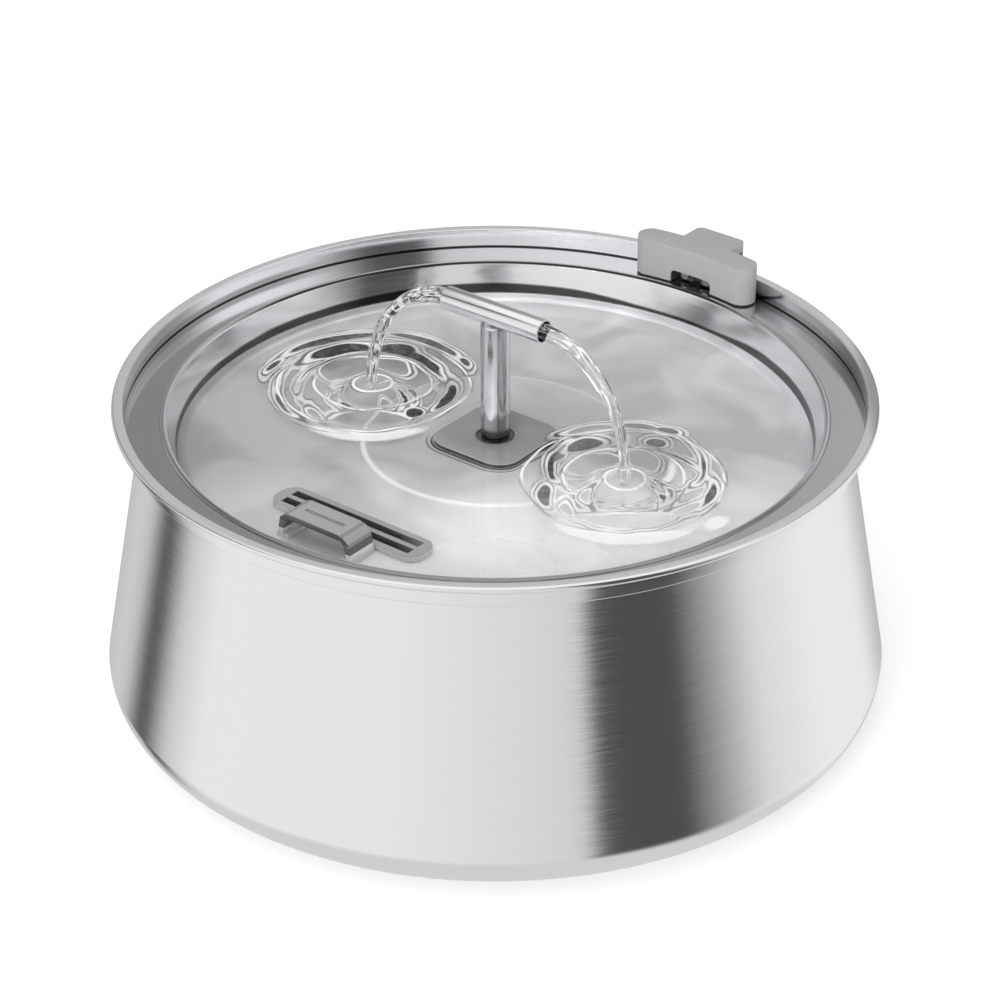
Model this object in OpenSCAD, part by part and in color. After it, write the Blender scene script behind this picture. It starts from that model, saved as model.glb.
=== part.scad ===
// Pet water fountain: a waisted steel bowl with a lift-out drinking tray, a
// T-shaped double spout, a submersible pump in a filter box and a cord clip.
// Units are millimetres. +Z is up, +Y points to the cord clip, the spout's
// crossbar lies along X, and the origin is on the floor under the bowl's centre.

/* [Bowl] */
// Height of the bowl, floor to rim
bowl_h = 138; // [130:1:150]
// Largest outside radius, at the crease low on the wall
crease_r = 165; // [160:0.5:172]
// Height of the crease
crease_h = 19.4; // [16:0.1:24]
// How far the upright collar lies inside the crease
collar_in = 11.9; // [8:0.1:16]
// How far the neck, where wall and collar meet, lies inside the collar
neck_in = 7.4; // [6:0.1:9]
// Height of the collar, rim included
collar_h = 10.4; // [8:0.1:14]
// Height of the rolled rim
rim_h = 2.9; // [2:0.1:4]
// How far the rolled rim stands out beyond the collar
rim_out = 4; // [2.5:0.1:5]
// Thickness of the steel sheet of the bowl and the tray
sheet_t = 0.8; // [0.6:0.05:1]

/* [Foot ring] */
// How far the rubber ring stands below the base
foot_t = 1.2; // [0.8:0.1:2]
// How far the rubber ring lies inside the crease
foot_in = 27; // [24:0.5:45]
// Width of the rubber ring
foot_w = 16; // [8:1:24]

/* [Tray] */
// Gap between the tray's flange and the collar
flange_gap = 0.4; // [0.3:0.05:0.8]
// Distance from the collar in to the dish's top edge
dish_in = 18.3; // [17.5:0.1:21]
// Depth of the dish below the flange
dish_depth = 17.9; // [15:0.1:22]
// Slope of the dish wall from upright, in degrees
dish_slope = 16; // [8:1:22]
// Radius between the dish wall and its floor
dish_fillet = 4.6; // [3:0.1:6]
// Radius of the rounded bead around the dish's edge
bead_r = 1.7; // [1.4:0.1:1.8]
// How far the bead stands above the flange
bead_rise = 0.7; // [0.2:0.1:1]
// Radius of the raised round field in the dish floor
field_r = 54; // [40:1:65]
// Height of the raised field
field_h = 1; // [0.5:0.1:1.5]
// Width of the ramp around the raised field
field_ramp = 2.4; // [1.5:0.1:4]

/* [Spout] */
// Outside radius of the riser tube
riser_r = 6; // [5:0.1:7]
// Outside radius of the crossbar tube
bar_r = 5; // [4.4:0.1:5.4]
// Wall of both tubes
tube_wall = 0.8; // [0.6:0.05:1]
// Length of the crossbar
bar_len = 50; // [40:1:64]
// Height of the crossbar's axis above the rim
bar_rise = 33.7; // [26:0.1:42]
// How deep the crossbar sinks into the riser's top
bar_sink = 1; // [0.5:0.1:1.5]
// Thickness of the riser's closed top
riser_cap = 1.2; // [0.8:0.1:1.6]
// Radius of the water hole between riser and crossbar
bar_port_r = 3.4; // [2.5:0.1:3.6]

/* [Spout socket] */
// Side of the silicone pad around the riser
pad_w = 42; // [36:1:50]
// Corner radius of the pad
pad_corner = 10; // [6:0.5:14]
// Thickness of the pad
pad_t = 3.4; // [2.5:0.1:4]
// Outside radius of the sleeve under the pad
sleeve_r = 10.4; // [10.1:0.1:11.5]
// How far the sleeve reaches below the pad
sleeve_len = 16.4; // [15:0.1:18]
// Radius of the swivelling coupler in the sleeve
coupler_r = 8; // [7.8:0.1:8.3]
// How deep the coupler's top lies below the pad's top
coupler_sunk = 1.6; // [1:0.1:2.5]
// Length of the coupler
coupler_len = 10.2; // [9.6:0.1:11]
// Thickness of the seats that stop the coupler and the riser
socket_seat = 1.5; // [1:0.1:2]
// Radius of the water way through the seats
socket_port_r = 4.7; // [4:0.1:4.9]
// Thickness of the ring that locks the pad under the tray
lock_t = 2; // [1.5:0.1:3]
// How far that ring stands out beyond the sleeve
lock_out = 2; // [1:0.1:3]
// Section radius of the coupler's sealing rings
seal_r = 0.5; // [0.4:0.05:0.55]

/* [Drain grille] */
// Length of the grille
grille_w = 76; // [60:0.5:84]
// Depth of the grille, front to back
grille_d = 15.8; // [14:0.1:18]
// Corner radius of the grille
grille_corner = 6.3; // [4:0.1:7]
// Height of the grille above the dish floor
grille_h = 5.1; // [4:0.1:7]
// Distance from the dish's top edge to the middle of the grille
grille_in = 43.6; // [43:0.1:52]
// Width of each slot
slot_w = 3.8; // [3:0.1:3.9]
// Width of the bar between the two slots
slot_bar = 2.4; // [2:0.1:3]
// Border left at each end of the slots
slot_end = 5.2; // [4:0.1:8]
// How far the skirt reaches below the dish floor
skirt_drop = 4.2; // [3:0.1:6]
// Wall of the skirt beside the slots
skirt_wall = 0.8; // [0.6:0.1:1]

/* [Tray handle] */
// Width of the handle across its feet
handle_w = 39.6; // [34:0.2:44]
// Width of the handle across its shoulders, at the underside of its top
handle_shoulder_w = 35.2; // [31:0.2:39]
// Width of the handle's flat top
handle_top_w = 25; // [20:0.2:28]
// Height of the handle
handle_h = 14.2; // [12:0.1:18]
// Depth of the handle, front to back
handle_d = 13.8; // [11:0.1:16]
// Thickness of the handle's top
handle_t = 2.8; // [2:0.1:4]
// Thickness of the handle's legs
leg_t = 2.6; // [2:0.1:4]
// Width of the handle's feet
handle_foot_w = 6.4; // [6:0.1:8]
// Gap between the grille and the handle
handle_gap = 0.9; // [0.5:0.1:2]
// Length of the groove in the handle's top
groove_len = 20; // [12:0.5:22]
// Width of the groove
groove_w = 1.8; // [1:0.1:3]
// Depth of the groove
groove_t = 0.7; // [0.3:0.1:1]
// Radius of the handle screws
handle_screw_r = 1.4; // [1:0.1:1.6]
// How far the handle screws reach into the feet
handle_screw_grip = 2.6; // [2:0.1:3.2]

/* [Cord clip] */
// Gap between the clip and the tray's bead
clip_front_gap = 0.6; // [0.4:0.1:1]
// Gap between the clip's bar and the bowl's collar
clip_back_gap = 1; // [0.5:0.1:2]
// Width of the clip's bar, end to end
clip_w = 61; // [50:0.5:66]
// Height of the clip's top above the rim
clip_rise = 9.2; // [8.6:0.1:12]
// Thickness of the clip's top plate over the rim
clip_plate = 4; // [3:0.1:4.4]
// Width of the clip's stem
stem_w = 25; // [18:0.5:28]
// Distance from the bowl's rolled rim to the clip's end lip
stem_clear = 3.7; // [2:0.1:5]
// Thickness of the end lip
lip_t = 2.2; // [1.8:0.1:3]
// How far the end lip hangs below the rim
lip_drop = 4; // [3:0.1:6]
// Corner radius of the stem's outer end
stem_corner = 3; // [2:0.1:5]
// Width of the notch in the front of the bar
notch_w = 21.4; // [18:0.1:26]
// Height of the notch
notch_h = 5.6; // [5:0.1:8.4]
// Corner radius of the notch
notch_corner = 2.4; // [1.5:0.1:2.5]
// Wall left behind the notch
notch_back = 3.3; // [2.6:0.1:4]
// Thickness of the rubber sole under the bar
sole_t = 0.8; // [0.5:0.1:1.2]
// How far the sole stays inside the bar's outline
sole_inset = 0.3; // [0.1:0.1:0.8]
// Radius of the cord's exit hole in the end lip
cord_exit_r = 2.1; // [1.8:0.05:2.1]
// Width of the window that the cord crosses the rim through
cord_window_w = 4.6; // [4.2:0.1:5]

/* [Cord clamp] */
// Width of the clamp block inside the clip
clamp_w = 17; // [14:0.5:18]
// Thickness of the clamp block
clamp_t = 4.4; // [3.5:0.1:5]
// Distance between the two clamp screws
clamp_pitch = 11; // [8:0.5:11]
// Radius of a clamp screw
clamp_screw_r = 1; // [0.8:0.1:1.2]
// How far the clamp screws reach into the clip
clamp_screw_grip = 1.4; // [1:0.1:1.6]
// Radius of the cord's way in the clamp and in the grommet
cord_way_r = 1.8; // [1.5:0.05:1.8]
// Wall of the flange grommet around the cord
grommet_wall = 0.65; // [0.5:0.05:0.7]
// How far the grommet's two collars stand out
grommet_collar = 0.6; // [0.4:0.05:0.6]

/* [Filter box] */
// Outside radius of the filter box
box_r = 52; // [50:0.5:60]
// Height of the filter box
box_h = 64; // [60:0.5:66]
// Wall and floor of the filter box
box_wall = 1.6; // [1.2:0.1:2.2]
// Width of the notch for the lead in the box's edge
box_notch_w = 5; // [4:0.1:8]
// Depth of that notch
box_notch_h = 6; // [4:0.5:8]

/* [Filter lid] */
// Thickness of the lid's plate
lid_t = 2; // [1.5:0.1:2.5]
// Gap between the lid's skirt and the box
lid_gap = 0.3; // [0.3:0.05:0.5]
// Wall of the lid's skirt
lid_wall = 1.2; // [1:0.1:1.6]
// Height of the lid's skirt
lid_skirt = 14.1; // [12:0.1:15]
// Number of slots in the lid
lid_slots = 18; // [12:1:24]
// Width of each slot
lid_slot_w = 3.2; // [2:0.1:3.8]
// Height of the lid's two finger tabs
lid_tab_h = 6; // [4:0.5:9]
// Length of each finger tab
lid_tab_len = 16; // [10:1:20]
// Thickness of the fleece on the cartridge
fleece_t = 3; // [2:0.5:5]

/* [Pump] */
// Width of the pump
pump_w = 40; // [38:0.5:44]
// Height of the pump's casing
pump_h = 33; // [32:0.5:35]
// Length of the pump's casing in front of the spout's axis
pump_front = 9; // [8:0.5:10]
// Length of the pump's casing behind the spout's axis
pump_back = 30; // [29:0.5:33]
// Corner radius of the pump's casing
pump_corner = 4; // [3:0.5:5]
// Height of the pump above the box's floor
cup_h = 7.4; // [6:0.2:9]
// Radius of the impeller chamber
chamber_r = 13; // [12.5:0.1:13.2]
// Depth of the impeller chamber behind the spout's axis
chamber_back = 8; // [7.6:0.1:8.4]
// Inside radius of the rotor well
well_r = 8.2; // [8:0.1:8.4]
// Depth of the rotor well
well_len = 19; // [18:0.5:19.5]
// Wall of the rotor well
well_wall = 1.2; // [1:0.1:1.3]
// Wall of the casing around the stator
case_wall = 2.2; // [1.8:0.1:2.3]
// Radius of the pump's outlet nozzle
nozzle_r = 4.5; // [4:0.1:4.8]
// Length of the outlet nozzle
nozzle_len = 10; // [8:0.5:12]
// Wall of the outlet nozzle
nozzle_wall = 0.9; // [0.8:0.1:1.2]
// Thickness of the pump's front cover
cover_t = 4; // [3.8:0.1:5]
// Thickness of the pump's rear cap
cap_t = 2; // [1.5:0.1:3]
// Section radius of the cover's sealing ring
cover_seal_r = 0.7; // [0.5:0.05:0.8]

/* [Impeller] */
// Radius of the fixed shaft
shaft_r = 1; // [0.8:0.05:1.2]
// Radial running clearance between impeller and shaft
shaft_fit = 0.06; // [0.03:0.01:0.09]
// Gap between the blades and the chamber
blade_gap = 1.2; // [0.8:0.1:1.6]
// Number of blades
blades = 6; // [4:1:8]
// Thickness of a blade
blade_t = 1.2; // [0.8:0.1:1.6]
// Radius of the impeller's hub
hub_r = 4; // [3.4:0.1:5]
// Gap between the rotor magnet and the well
rotor_gap = 0.6; // [0.4:0.05:0.8]
// Thickness of each shaft bush
bush_t = 2; // [1.6:0.1:2.2]

/* [Flow dial] */
// Radius of the flow dial
dial_r = 11; // [10.4:0.1:11.5]
// Thickness of the flow dial
dial_t = 2; // [1.5:0.1:2.5]
// Gap between the dial and the cover
dial_gap = 0.3; // [0.3:0.05:0.5]
// How far the dial's finger tab stands out
dial_tab = 3; // [2:0.1:3.2]
// Number of intake windows
windows = 3; // [2:1:3]
// Angle that each window spans
window_angle = 44; // [30:1:54]
// Inner radius of the windows
window_in = 4.6; // [4.4:0.1:5.2]
// Outer radius of the windows
window_out = 9.4; // [8:0.1:9.8]

/* [Pre-filter foam] */
// Width of the foam block
foam_w = 36; // [34:0.5:38]
// Length of the foam block
foam_len = 23; // [16:0.5:25]

/* [Fits] */
// Gap between a lift-off piece and its seat
seat_gap = 0.1; // [0.05:0.05:0.2]
// Gap around a piece that is pushed or screwed into another
fit_gap = 0.1; // [0.05:0.05:0.15]
// Radial running clearance of the spout's swivel and slide
swivel_fit = 0.08; // [0.04:0.01:0.1]
// Gap around the riser pipe where the tray and the lid pass it
pipe_gap = 0.3; // [0.3:0.05:0.5]

/* [Hidden] */
$fn = 96;
// Extra length that a cutting solid runs past the face it opens
over = 1;

// Radii and distances that follow the crease
collar_r = crease_r - collar_in;
neck_r = collar_r - neck_in;
dish_r = collar_r - dish_in;
foot_r = crease_r - foot_in;
grille_y = dish_r - grille_in;

// Heights
base_fillet = crease_h - foot_t;
z_floor = foot_t + sheet_t;
z_neck = bowl_h - collar_h;
z_ledge = z_neck + sheet_t;
z_flange = z_ledge + seat_gap;
z_flange_top = z_flange + sheet_t;
z_dish = z_flange_top - dish_depth;
z_field = z_dish + field_h;
z_pad_top = z_field + pad_t;
z_sleeve = z_field - sleeve_len;
z_bar = bowl_h + bar_rise;

// Tray
flange_r = collar_r - sheet_t - flange_gap;
bead_mid_r = dish_r + bead_r;
bead_out_r = bead_mid_r + bead_r;
z_bead = z_flange_top + bead_rise - bead_r;
z_dish_arc = z_dish + dish_fillet;
dish_arc_r = dish_r - dish_fillet * cos(dish_slope)
    - (z_bead - z_dish_arc + dish_fillet * sin(dish_slope)) * tan(dish_slope);

// Spout and its socket
z_coupler_top = z_pad_top - coupler_sunk;
z_coupler = z_coupler_top - coupler_len;
z_riser = z_coupler + socket_seat + seat_gap;
z_riser_top = z_bar - bar_r + bar_sink;
z_socket_seat = z_coupler - seat_gap - socket_seat;
z_pipe_top = z_socket_seat - pipe_gap;
sleeve_bore_r = coupler_r + swivel_fit;
coupler_bore_r = riser_r + swivel_fit;
seal_mid_r = coupler_r - seal_r - swivel_fit / 2;
seal_inset = 3;
seal_heights = [z_coupler + seal_inset, z_coupler_top - seal_inset];
weld_gap = 0.02;

// Grille
slot_y = (slot_w + slot_bar) / 2;
slot_len = grille_w - 2 * slot_end;
skirt_w = slot_len + 2 * skirt_wall;
skirt_d = 2 * slot_w + slot_bar + 2 * skirt_wall;
skirt_corner = 2;
drain_gap = 0.3;
vane_t = 0.8;

// Handle
handle_y = grille_y + grille_d / 2 + handle_gap + handle_d / 2;
foot_h = 3.6;
// The top's outer edge runs down in a narrow chamfer
chamfer_h = 0.6;
chamfer_w = handle_top_w + 5;
arch_corner = 1.6;
handle_screw_x = (handle_w - handle_foot_w) / 2;
screw_head_r = 3;
screw_head_t = 1.6;

// Clip
clip_in_r = bead_out_r + clip_front_gap;
clip_out_r = collar_r - sheet_t - clip_back_gap;
clip_mid_r = (clip_in_r + clip_out_r) / 2;
clip_end_r = (clip_out_r - clip_in_r) / 2;
end_swell = 0.1;
clip_angle = asin((clip_w / 2 - clip_end_r) / clip_mid_r);
z_sole = z_flange_top + seat_gap;
z_clip = z_sole + sole_t;
z_clip_top = bowl_h + clip_rise;
z_plate = z_clip_top - clip_plate;
lip_y = collar_r + rim_out + stem_clear;
stem_y = lip_y + lip_t;
z_lip = bowl_h - lip_drop;
cavity_y = clip_out_r - notch_back;
z_cord = (bowl_h + z_plate) / 2;
clamp_y = cavity_y - fit_gap - clamp_t;
clamp_h = notch_h - 2 * fit_gap;
clamp_head_r = 1.9;
clamp_head_t = 1.3;

// Grommet in the flange's cord hole, between the bead and the bowl's neck
grommet_y = (bead_out_r + neck_r - sheet_t) / 2;
grommet_r = cord_way_r + grommet_wall;
grommet_collar_t = 0.8;

// Filter box, lid and cartridge
z_box_floor = z_floor + box_wall;
z_box_top = z_floor + box_h;
z_lid = z_box_top + seat_gap;
z_lid_top = z_lid + lid_t;
lid_skirt_r = box_r - box_wall - lid_gap;
lid_in_r = lid_skirt_r - lid_wall;
z_skirt = z_lid - lid_skirt;
lid_hole_r = riser_r + pipe_gap;
lid_guide_wall = 2;
lid_guide_r = lid_hole_r + lid_guide_wall;
lid_lip = 2.4;
lid_lip_t = 1.2;
lid_tab_t = 3;
lid_tab_x = 29;
lid_slot_in = 16;
lid_border = 4;
lid_slot_out = lid_in_r - lid_border;
z_cartridge = z_skirt + lid_lip_t + fit_gap;
z_fleece = z_lid - fit_gap - fleece_t;

// Pump
z_pump = z_box_floor + cup_h;
z_axis = z_pump + pump_h / 2;
z_pump_top = z_pump + pump_h;
cover_y = -pump_front - cover_t;
chamber_wall = 2;
cavity_start = chamber_back + chamber_wall;
well_end = chamber_back + well_len;
well_out_r = well_r + well_wall;
cavity_w = pump_w - 2 * case_wall;
cavity_h = pump_h - 2 * case_wall;
stator_r = cavity_h / 2 - fit_gap;
coil_r = (well_out_r + stator_r) / 2;
stator_gap = 2;
stator_y = cavity_start + stator_gap;
stator_len = well_len - 3 * stator_gap;
board_gap = 1;
board_y = stator_y + stator_len + board_gap;
board_t = 1.6;
gland_x = 10;
gland_rise = 8;
gland_z = z_axis + gland_rise;
gland_r = 2.8;
gland_flange_r = 4.2;
gland_flange_t = 1.5;
gland_nose_r = 3;
gland_nose = 4;
cover_screw_inset = 3.6;
cover_screw_x = pump_w / 2 - cover_screw_inset;
cover_screw_z = pump_h / 2 - cover_screw_inset;
cover_screw_r = 1.2;
cover_head_r = 2.2;
cover_head_t = 1.4;
cover_screw_len = 8;
cover_seal_land = 1.5;
cover_seal_mid = chamber_r + cover_seal_land;
cup_r = 6;
cup_neck_r = 2.5;
cup_plug = 1.6;
cup_hollow = 1.2;
cup_lip_t = 0.6;
cup_lip_w = 1.4;
cup_bell_h = 3;
CUPS = [[-14, -4], [14, -4], [-14, 24], [14, 24]];

// Impeller, rotor and bushes
bush_front_r = 3;
bush_front_y = -pump_front - bush_t + fit_gap;
bush_fit = 0.02;
rotor_y = chamber_back + rotor_gap;
rotor_end = well_end - bush_t - rotor_gap;
shroud_t = 1.4;
shroud_y = chamber_back - rotor_gap - shroud_t;
blade_front_gap = 2;
blade_y = -pump_front + blade_front_gap;
hub_front = 0.4;
pivot_r = 2;
pivot_len = 1.2;
pivot_fit = 0.05;
dial_y = cover_y - dial_gap - dial_t;
dial_tab_w = 4;

// Foam
foam_y = cover_y - fit_gap - foam_len;
foam_sunk = 2;
foam_h = z_pump_top - z_box_floor - foam_sunk;
foam_room = 1;
foam_pocket_r = dial_r + dial_tab + foam_room;
foam_pocket = dial_gap + dial_t + foam_room;
foam_corner = 5;

// Filled rectangle with round corners, centred
module rounded(w, h, r) {
    square([w - 2 * r, h], center = true);
    square([w, h - 2 * r], center = true);
    for (x = [-1, 1], y = [-1, 1])
        translate([x * (w / 2 - r), y * (h / 2 - r)]) circle(r = r);
}

// Stands a flat outline upright and runs it along Y from y0 to y1
module along_y(y0, y1, z = 0) {
    translate([0, y1, z]) rotate([90, 0, 0]) linear_extrude(y1 - y0) children();
}

// Round bar along Y
module bar_y(r, y0, y1, x = 0, z = 0) {
    translate([x, y1, z]) rotate([90, 0, 0]) cylinder(r = r, h = y1 - y0);
}

// Tube along Z
module tube_z(r, bore, z0, z1) {
    difference() {
        translate([0, 0, z0]) cylinder(r = r, h = z1 - z0);
        translate([0, 0, z0 - over]) cylinder(r = bore, h = z1 - z0 + 2 * over);
    }
}

// Ring about Z
module ring_z(r, section, z) {
    translate([0, 0, z]) rotate_extrude() translate([r, 0]) circle(r = section, $fn = 32);
}

// Half section of the bowl below its neck, drawn in by inset
module bowl_section(inset) {
    translate([0, foot_t + inset]) square([crease_r - base_fillet, base_fillet - inset]);
    intersection() {
        translate([crease_r - base_fillet, crease_h]) circle(r = base_fillet - inset);
        translate([0, foot_t]) square([crease_r, base_fillet]);
    }
    polygon([[0, crease_h], [crease_r - inset, crease_h], [neck_r - inset, z_neck],
        [0, z_neck]]);
}

module bowl() {
    color("silver") rotate_extrude($fn = 180) difference() {
        union() {
            bowl_section(0);
            translate([0, z_neck]) square([collar_r, collar_h]);
            translate([0, bowl_h - rim_h]) square([collar_r + rim_out - rim_h / 2, rim_h]);
            translate([collar_r + rim_out - rim_h / 2, bowl_h - rim_h / 2])
                circle(r = rim_h / 2, $fn = 32);
        }
        bowl_section(sheet_t);
        translate([0, z_neck - over]) square([neck_r - sheet_t, collar_h]);
        translate([0, z_ledge]) square([collar_r - sheet_t, collar_h]);
    }
}

module foot_ring() {
    color("dimgray") tube_z(foot_r, foot_r - foot_w, 0, foot_t);
}

// Half section of the dish, pushed outwards by grow
module dish_section(grow) {
    arc = dish_fillet + grow;
    polygon([[0, z_dish - grow], [dish_arc_r, z_dish - grow],
        [dish_arc_r + arc * cos(dish_slope), z_dish_arc - arc * sin(dish_slope)],
        [dish_r + grow / cos(dish_slope), z_bead], [0, z_bead]]);
    translate([dish_arc_r, z_dish_arc]) circle(r = arc);
}

// Half section of the raised field, from a given height
module field_section(z) {
    polygon([[0, z - over], [field_r + field_ramp, z - over], [field_r + field_ramp, z],
        [field_r, z + field_h], [0, z + field_h]]);
}

module tray() {
    color("silver") difference() {
        rotate_extrude($fn = 180) {
            difference() {
                dish_section(sheet_t);
                difference() {
                    dish_section(0);
                    field_section(z_dish);
                }
                field_section(z_dish - sheet_t);
            }
            translate([bead_mid_r, z_flange]) square([flange_r - bead_mid_r, sheet_t]);
            translate([bead_mid_r, z_bead]) circle(r = bead_r, $fn = 48);
        }
        translate([0, 0, z_dish - over]) cylinder(r = sleeve_r + fit_gap, h = 3 * over);
        translate([0, -grille_y, z_dish - 2 * over]) linear_extrude(3 * over)
            rounded(skirt_w + 2 * drain_gap, skirt_d + 2 * drain_gap, skirt_corner + drain_gap);
        for (x = [-1, 1]) translate([x * handle_screw_x, -handle_y, z_dish - 2 * over])
            cylinder(r = handle_screw_r + fit_gap, h = 3 * over);
        translate([0, grommet_y, z_flange - over])
            cylinder(r = grommet_r + fit_gap / 2, h = sheet_t + 2 * over);
    }
}

// Outline of the handle, seen from the front, standing on its feet
module handle_outline() {
    edge_h = handle_h - chamfer_h;
    shoulder_h = handle_h - handle_t;
    polygon([[-handle_w / 2, 0], [-handle_shoulder_w / 2, shoulder_h], [-chamfer_w / 2, edge_h],
        [-handle_top_w / 2, handle_h], [handle_top_w / 2, handle_h], [chamfer_w / 2, edge_h],
        [handle_shoulder_w / 2, shoulder_h], [handle_w / 2, 0]]);
}

// Outline of the finger gap under the handle's top
module handle_arch() {
    sole_in = handle_w / 2 - handle_foot_w;
    foot_in = handle_w / 2 - leg_t - (handle_w - handle_shoulder_w) * foot_h / handle_h / 2;
    top_in = handle_shoulder_w / 2 - leg_t;
    top_h = handle_h - handle_t;
    polygon([[-sole_in, -over], [-sole_in, foot_h], [-foot_in, foot_h],
        [-top_in, top_h - arch_corner], [arch_corner - top_in, top_h], [top_in - arch_corner, top_h],
        [top_in, top_h - arch_corner], [foot_in, foot_h], [sole_in, foot_h], [sole_in, -over]]);
}

module tray_handle() {
    color("darkgray") translate([0, -handle_y, z_dish]) difference() {
        along_y(-handle_d / 2, handle_d / 2) handle_outline();
        along_y(-handle_d / 2 - over, handle_d / 2 + over) handle_arch();
        translate([-groove_len / 2, -groove_w / 2, handle_h - groove_t])
            cube([groove_len, groove_w, groove_t + over]);
        for (x = [-1, 1]) translate([x * handle_screw_x, 0, -over])
            cylinder(r = handle_screw_r + fit_gap / 2, h = handle_screw_grip + fit_gap + over);
    }
}

module handle_screws() {
    z_under = z_dish - sheet_t;
    color("gainsboro") for (x = [-1, 1]) translate([x * handle_screw_x, -handle_y, 0]) {
        translate([0, 0, z_under - screw_head_t]) cylinder(r = screw_head_r, h = screw_head_t);
        translate([0, 0, z_under]) cylinder(r = handle_screw_r, h = sheet_t + handle_screw_grip);
    }
}

module spout_pad() {
    color("gray") difference() {
        union() {
            translate([0, 0, z_field]) linear_extrude(pad_t) rounded(pad_w, pad_w, pad_corner);
            translate([0, 0, z_sleeve]) cylinder(r = sleeve_r, h = sleeve_len);
            translate([0, 0, z_field - sheet_t - fit_gap - lock_t])
                cylinder(r = sleeve_r + lock_out, h = lock_t);
        }
        translate([0, 0, z_coupler - seat_gap])
            cylinder(r = sleeve_bore_r, h = coupler_len + coupler_sunk + seat_gap + over);
        translate([0, 0, z_sleeve - over]) cylinder(r = socket_port_r, h = sleeve_len);
        translate([0, 0, z_sleeve - over])
            cylinder(r = riser_r + pipe_gap, h = z_socket_seat - z_sleeve + over);
    }
}

module flange_grommet() {
    color("black") translate([0, grommet_y, 0]) {
        tube_z(grommet_r, cord_way_r, z_flange, z_flange_top);
        for (z = [z_flange - grommet_collar_t, z_flange_top])
            tube_z(grommet_r + grommet_collar, cord_way_r, z, z + grommet_collar_t);
    }
}

module drain_grille() {
    z_seat = z_dish + seat_gap;
    z_top = z_dish + grille_h;
    z_skirt_end = z_dish - skirt_drop;
    color("darkgray") translate([0, -grille_y, 0]) {
        difference() {
            union() {
                translate([0, 0, z_seat]) linear_extrude(z_top - z_seat)
                    rounded(grille_w, grille_d, grille_corner);
                translate([0, 0, z_skirt_end]) linear_extrude(z_seat - z_skirt_end)
                    rounded(skirt_w, skirt_d, skirt_corner);
            }
            for (y = [-1, 1]) translate([-slot_len / 2, y * slot_y - slot_w / 2, z_skirt_end - over])
                cube([slot_len, slot_w, z_top - z_skirt_end + 2 * over]);
        }
        translate([-slot_len / 2, slot_y + slot_w / 2, z_top - slot_w])
            rotate([45, 0, 0]) translate([0, -slot_w - vane_t, 0]) cube([slot_len, slot_w, vane_t]);
    }
}

module spout_coupler() {
    color("dimgray") difference() {
        translate([0, 0, z_coupler]) cylinder(r = coupler_r, h = coupler_len);
        translate([0, 0, z_coupler - over]) cylinder(r = socket_port_r, h = coupler_len);
        translate([0, 0, z_coupler + socket_seat]) cylinder(r = coupler_bore_r, h = coupler_len);
        for (z = seal_heights) ring_z(seal_mid_r, seal_r + swivel_fit / 2, z);
        for (z = seal_heights) translate([0, 0, z - seal_r - swivel_fit / 2])
            tube_z(coupler_r + over, seal_mid_r, 0, 2 * seal_r + swivel_fit);
    }
}

module coupler_seals() {
    color("black") for (z = seal_heights) ring_z(seal_mid_r, seal_r, z);
}

module spout_riser() {
    color("gainsboro") difference() {
        translate([0, 0, z_riser]) cylinder(r = riser_r, h = z_riser_top - z_riser);
        translate([0, 0, z_riser - over])
            cylinder(r = riser_r - tube_wall, h = z_riser_top - riser_cap - bar_sink - z_riser + over);
        translate([0, 0, z_riser]) cylinder(r = bar_port_r, h = z_riser_top - z_riser);
        translate([-bar_len / 2, 0, z_bar]) rotate([0, 90, 0])
            cylinder(r = bar_r + weld_gap, h = bar_len);
    }
}

module spout_crossbar() {
    color("gainsboro") difference() {
        translate([-bar_len / 2, 0, z_bar]) rotate([0, 90, 0]) cylinder(r = bar_r, h = bar_len);
        translate([-bar_len / 2 - over, 0, z_bar]) rotate([0, 90, 0])
            cylinder(r = bar_r - tube_wall, h = bar_len + 2 * over);
        translate([0, 0, z_bar - bar_r - over]) cylinder(r = bar_port_r, h = bar_r + over);
    }
}

// Outline of the clip's bar from above: a bent bar with round ends, held inside by inset
module clip_bar_outline(inset = 0) {
    reach = clip_out_r + over;
    intersection() {
        difference() {
            circle(r = clip_out_r - inset, $fn = 180);
            circle(r = clip_in_r + inset, $fn = 180);
        }
        union() {
            polygon([[0, 0], [-reach * tan(clip_angle), reach], [reach * tan(clip_angle), reach]]);
            for (side = [-1, 1]) rotate(side * clip_angle) translate([0, clip_mid_r])
                circle(r = clip_end_r + end_swell - inset);
        }
    }
}

// Outline of the clip's stem from above
module stem_outline() {
    translate([-stem_w / 2, clip_mid_r]) square([stem_w, stem_y - stem_corner - clip_mid_r]);
    translate([stem_corner - stem_w / 2, clip_mid_r])
        square([stem_w - 2 * stem_corner, stem_y - clip_mid_r]);
    for (side = [-1, 1])
        translate([side * (stem_w / 2 - stem_corner), stem_y - stem_corner]) circle(r = stem_corner);
}

// Front view of the notch, standing on the clip's underside
module notch_outline() {
    translate([-notch_w / 2, -over]) square([notch_w, notch_h - notch_corner + over]);
    translate([notch_corner - notch_w / 2, -over]) square([notch_w - 2 * notch_corner, notch_h + over]);
    for (side = [-1, 1]) translate([side * (notch_w / 2 - notch_corner), notch_h - notch_corner])
        circle(r = notch_corner);
}

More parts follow.
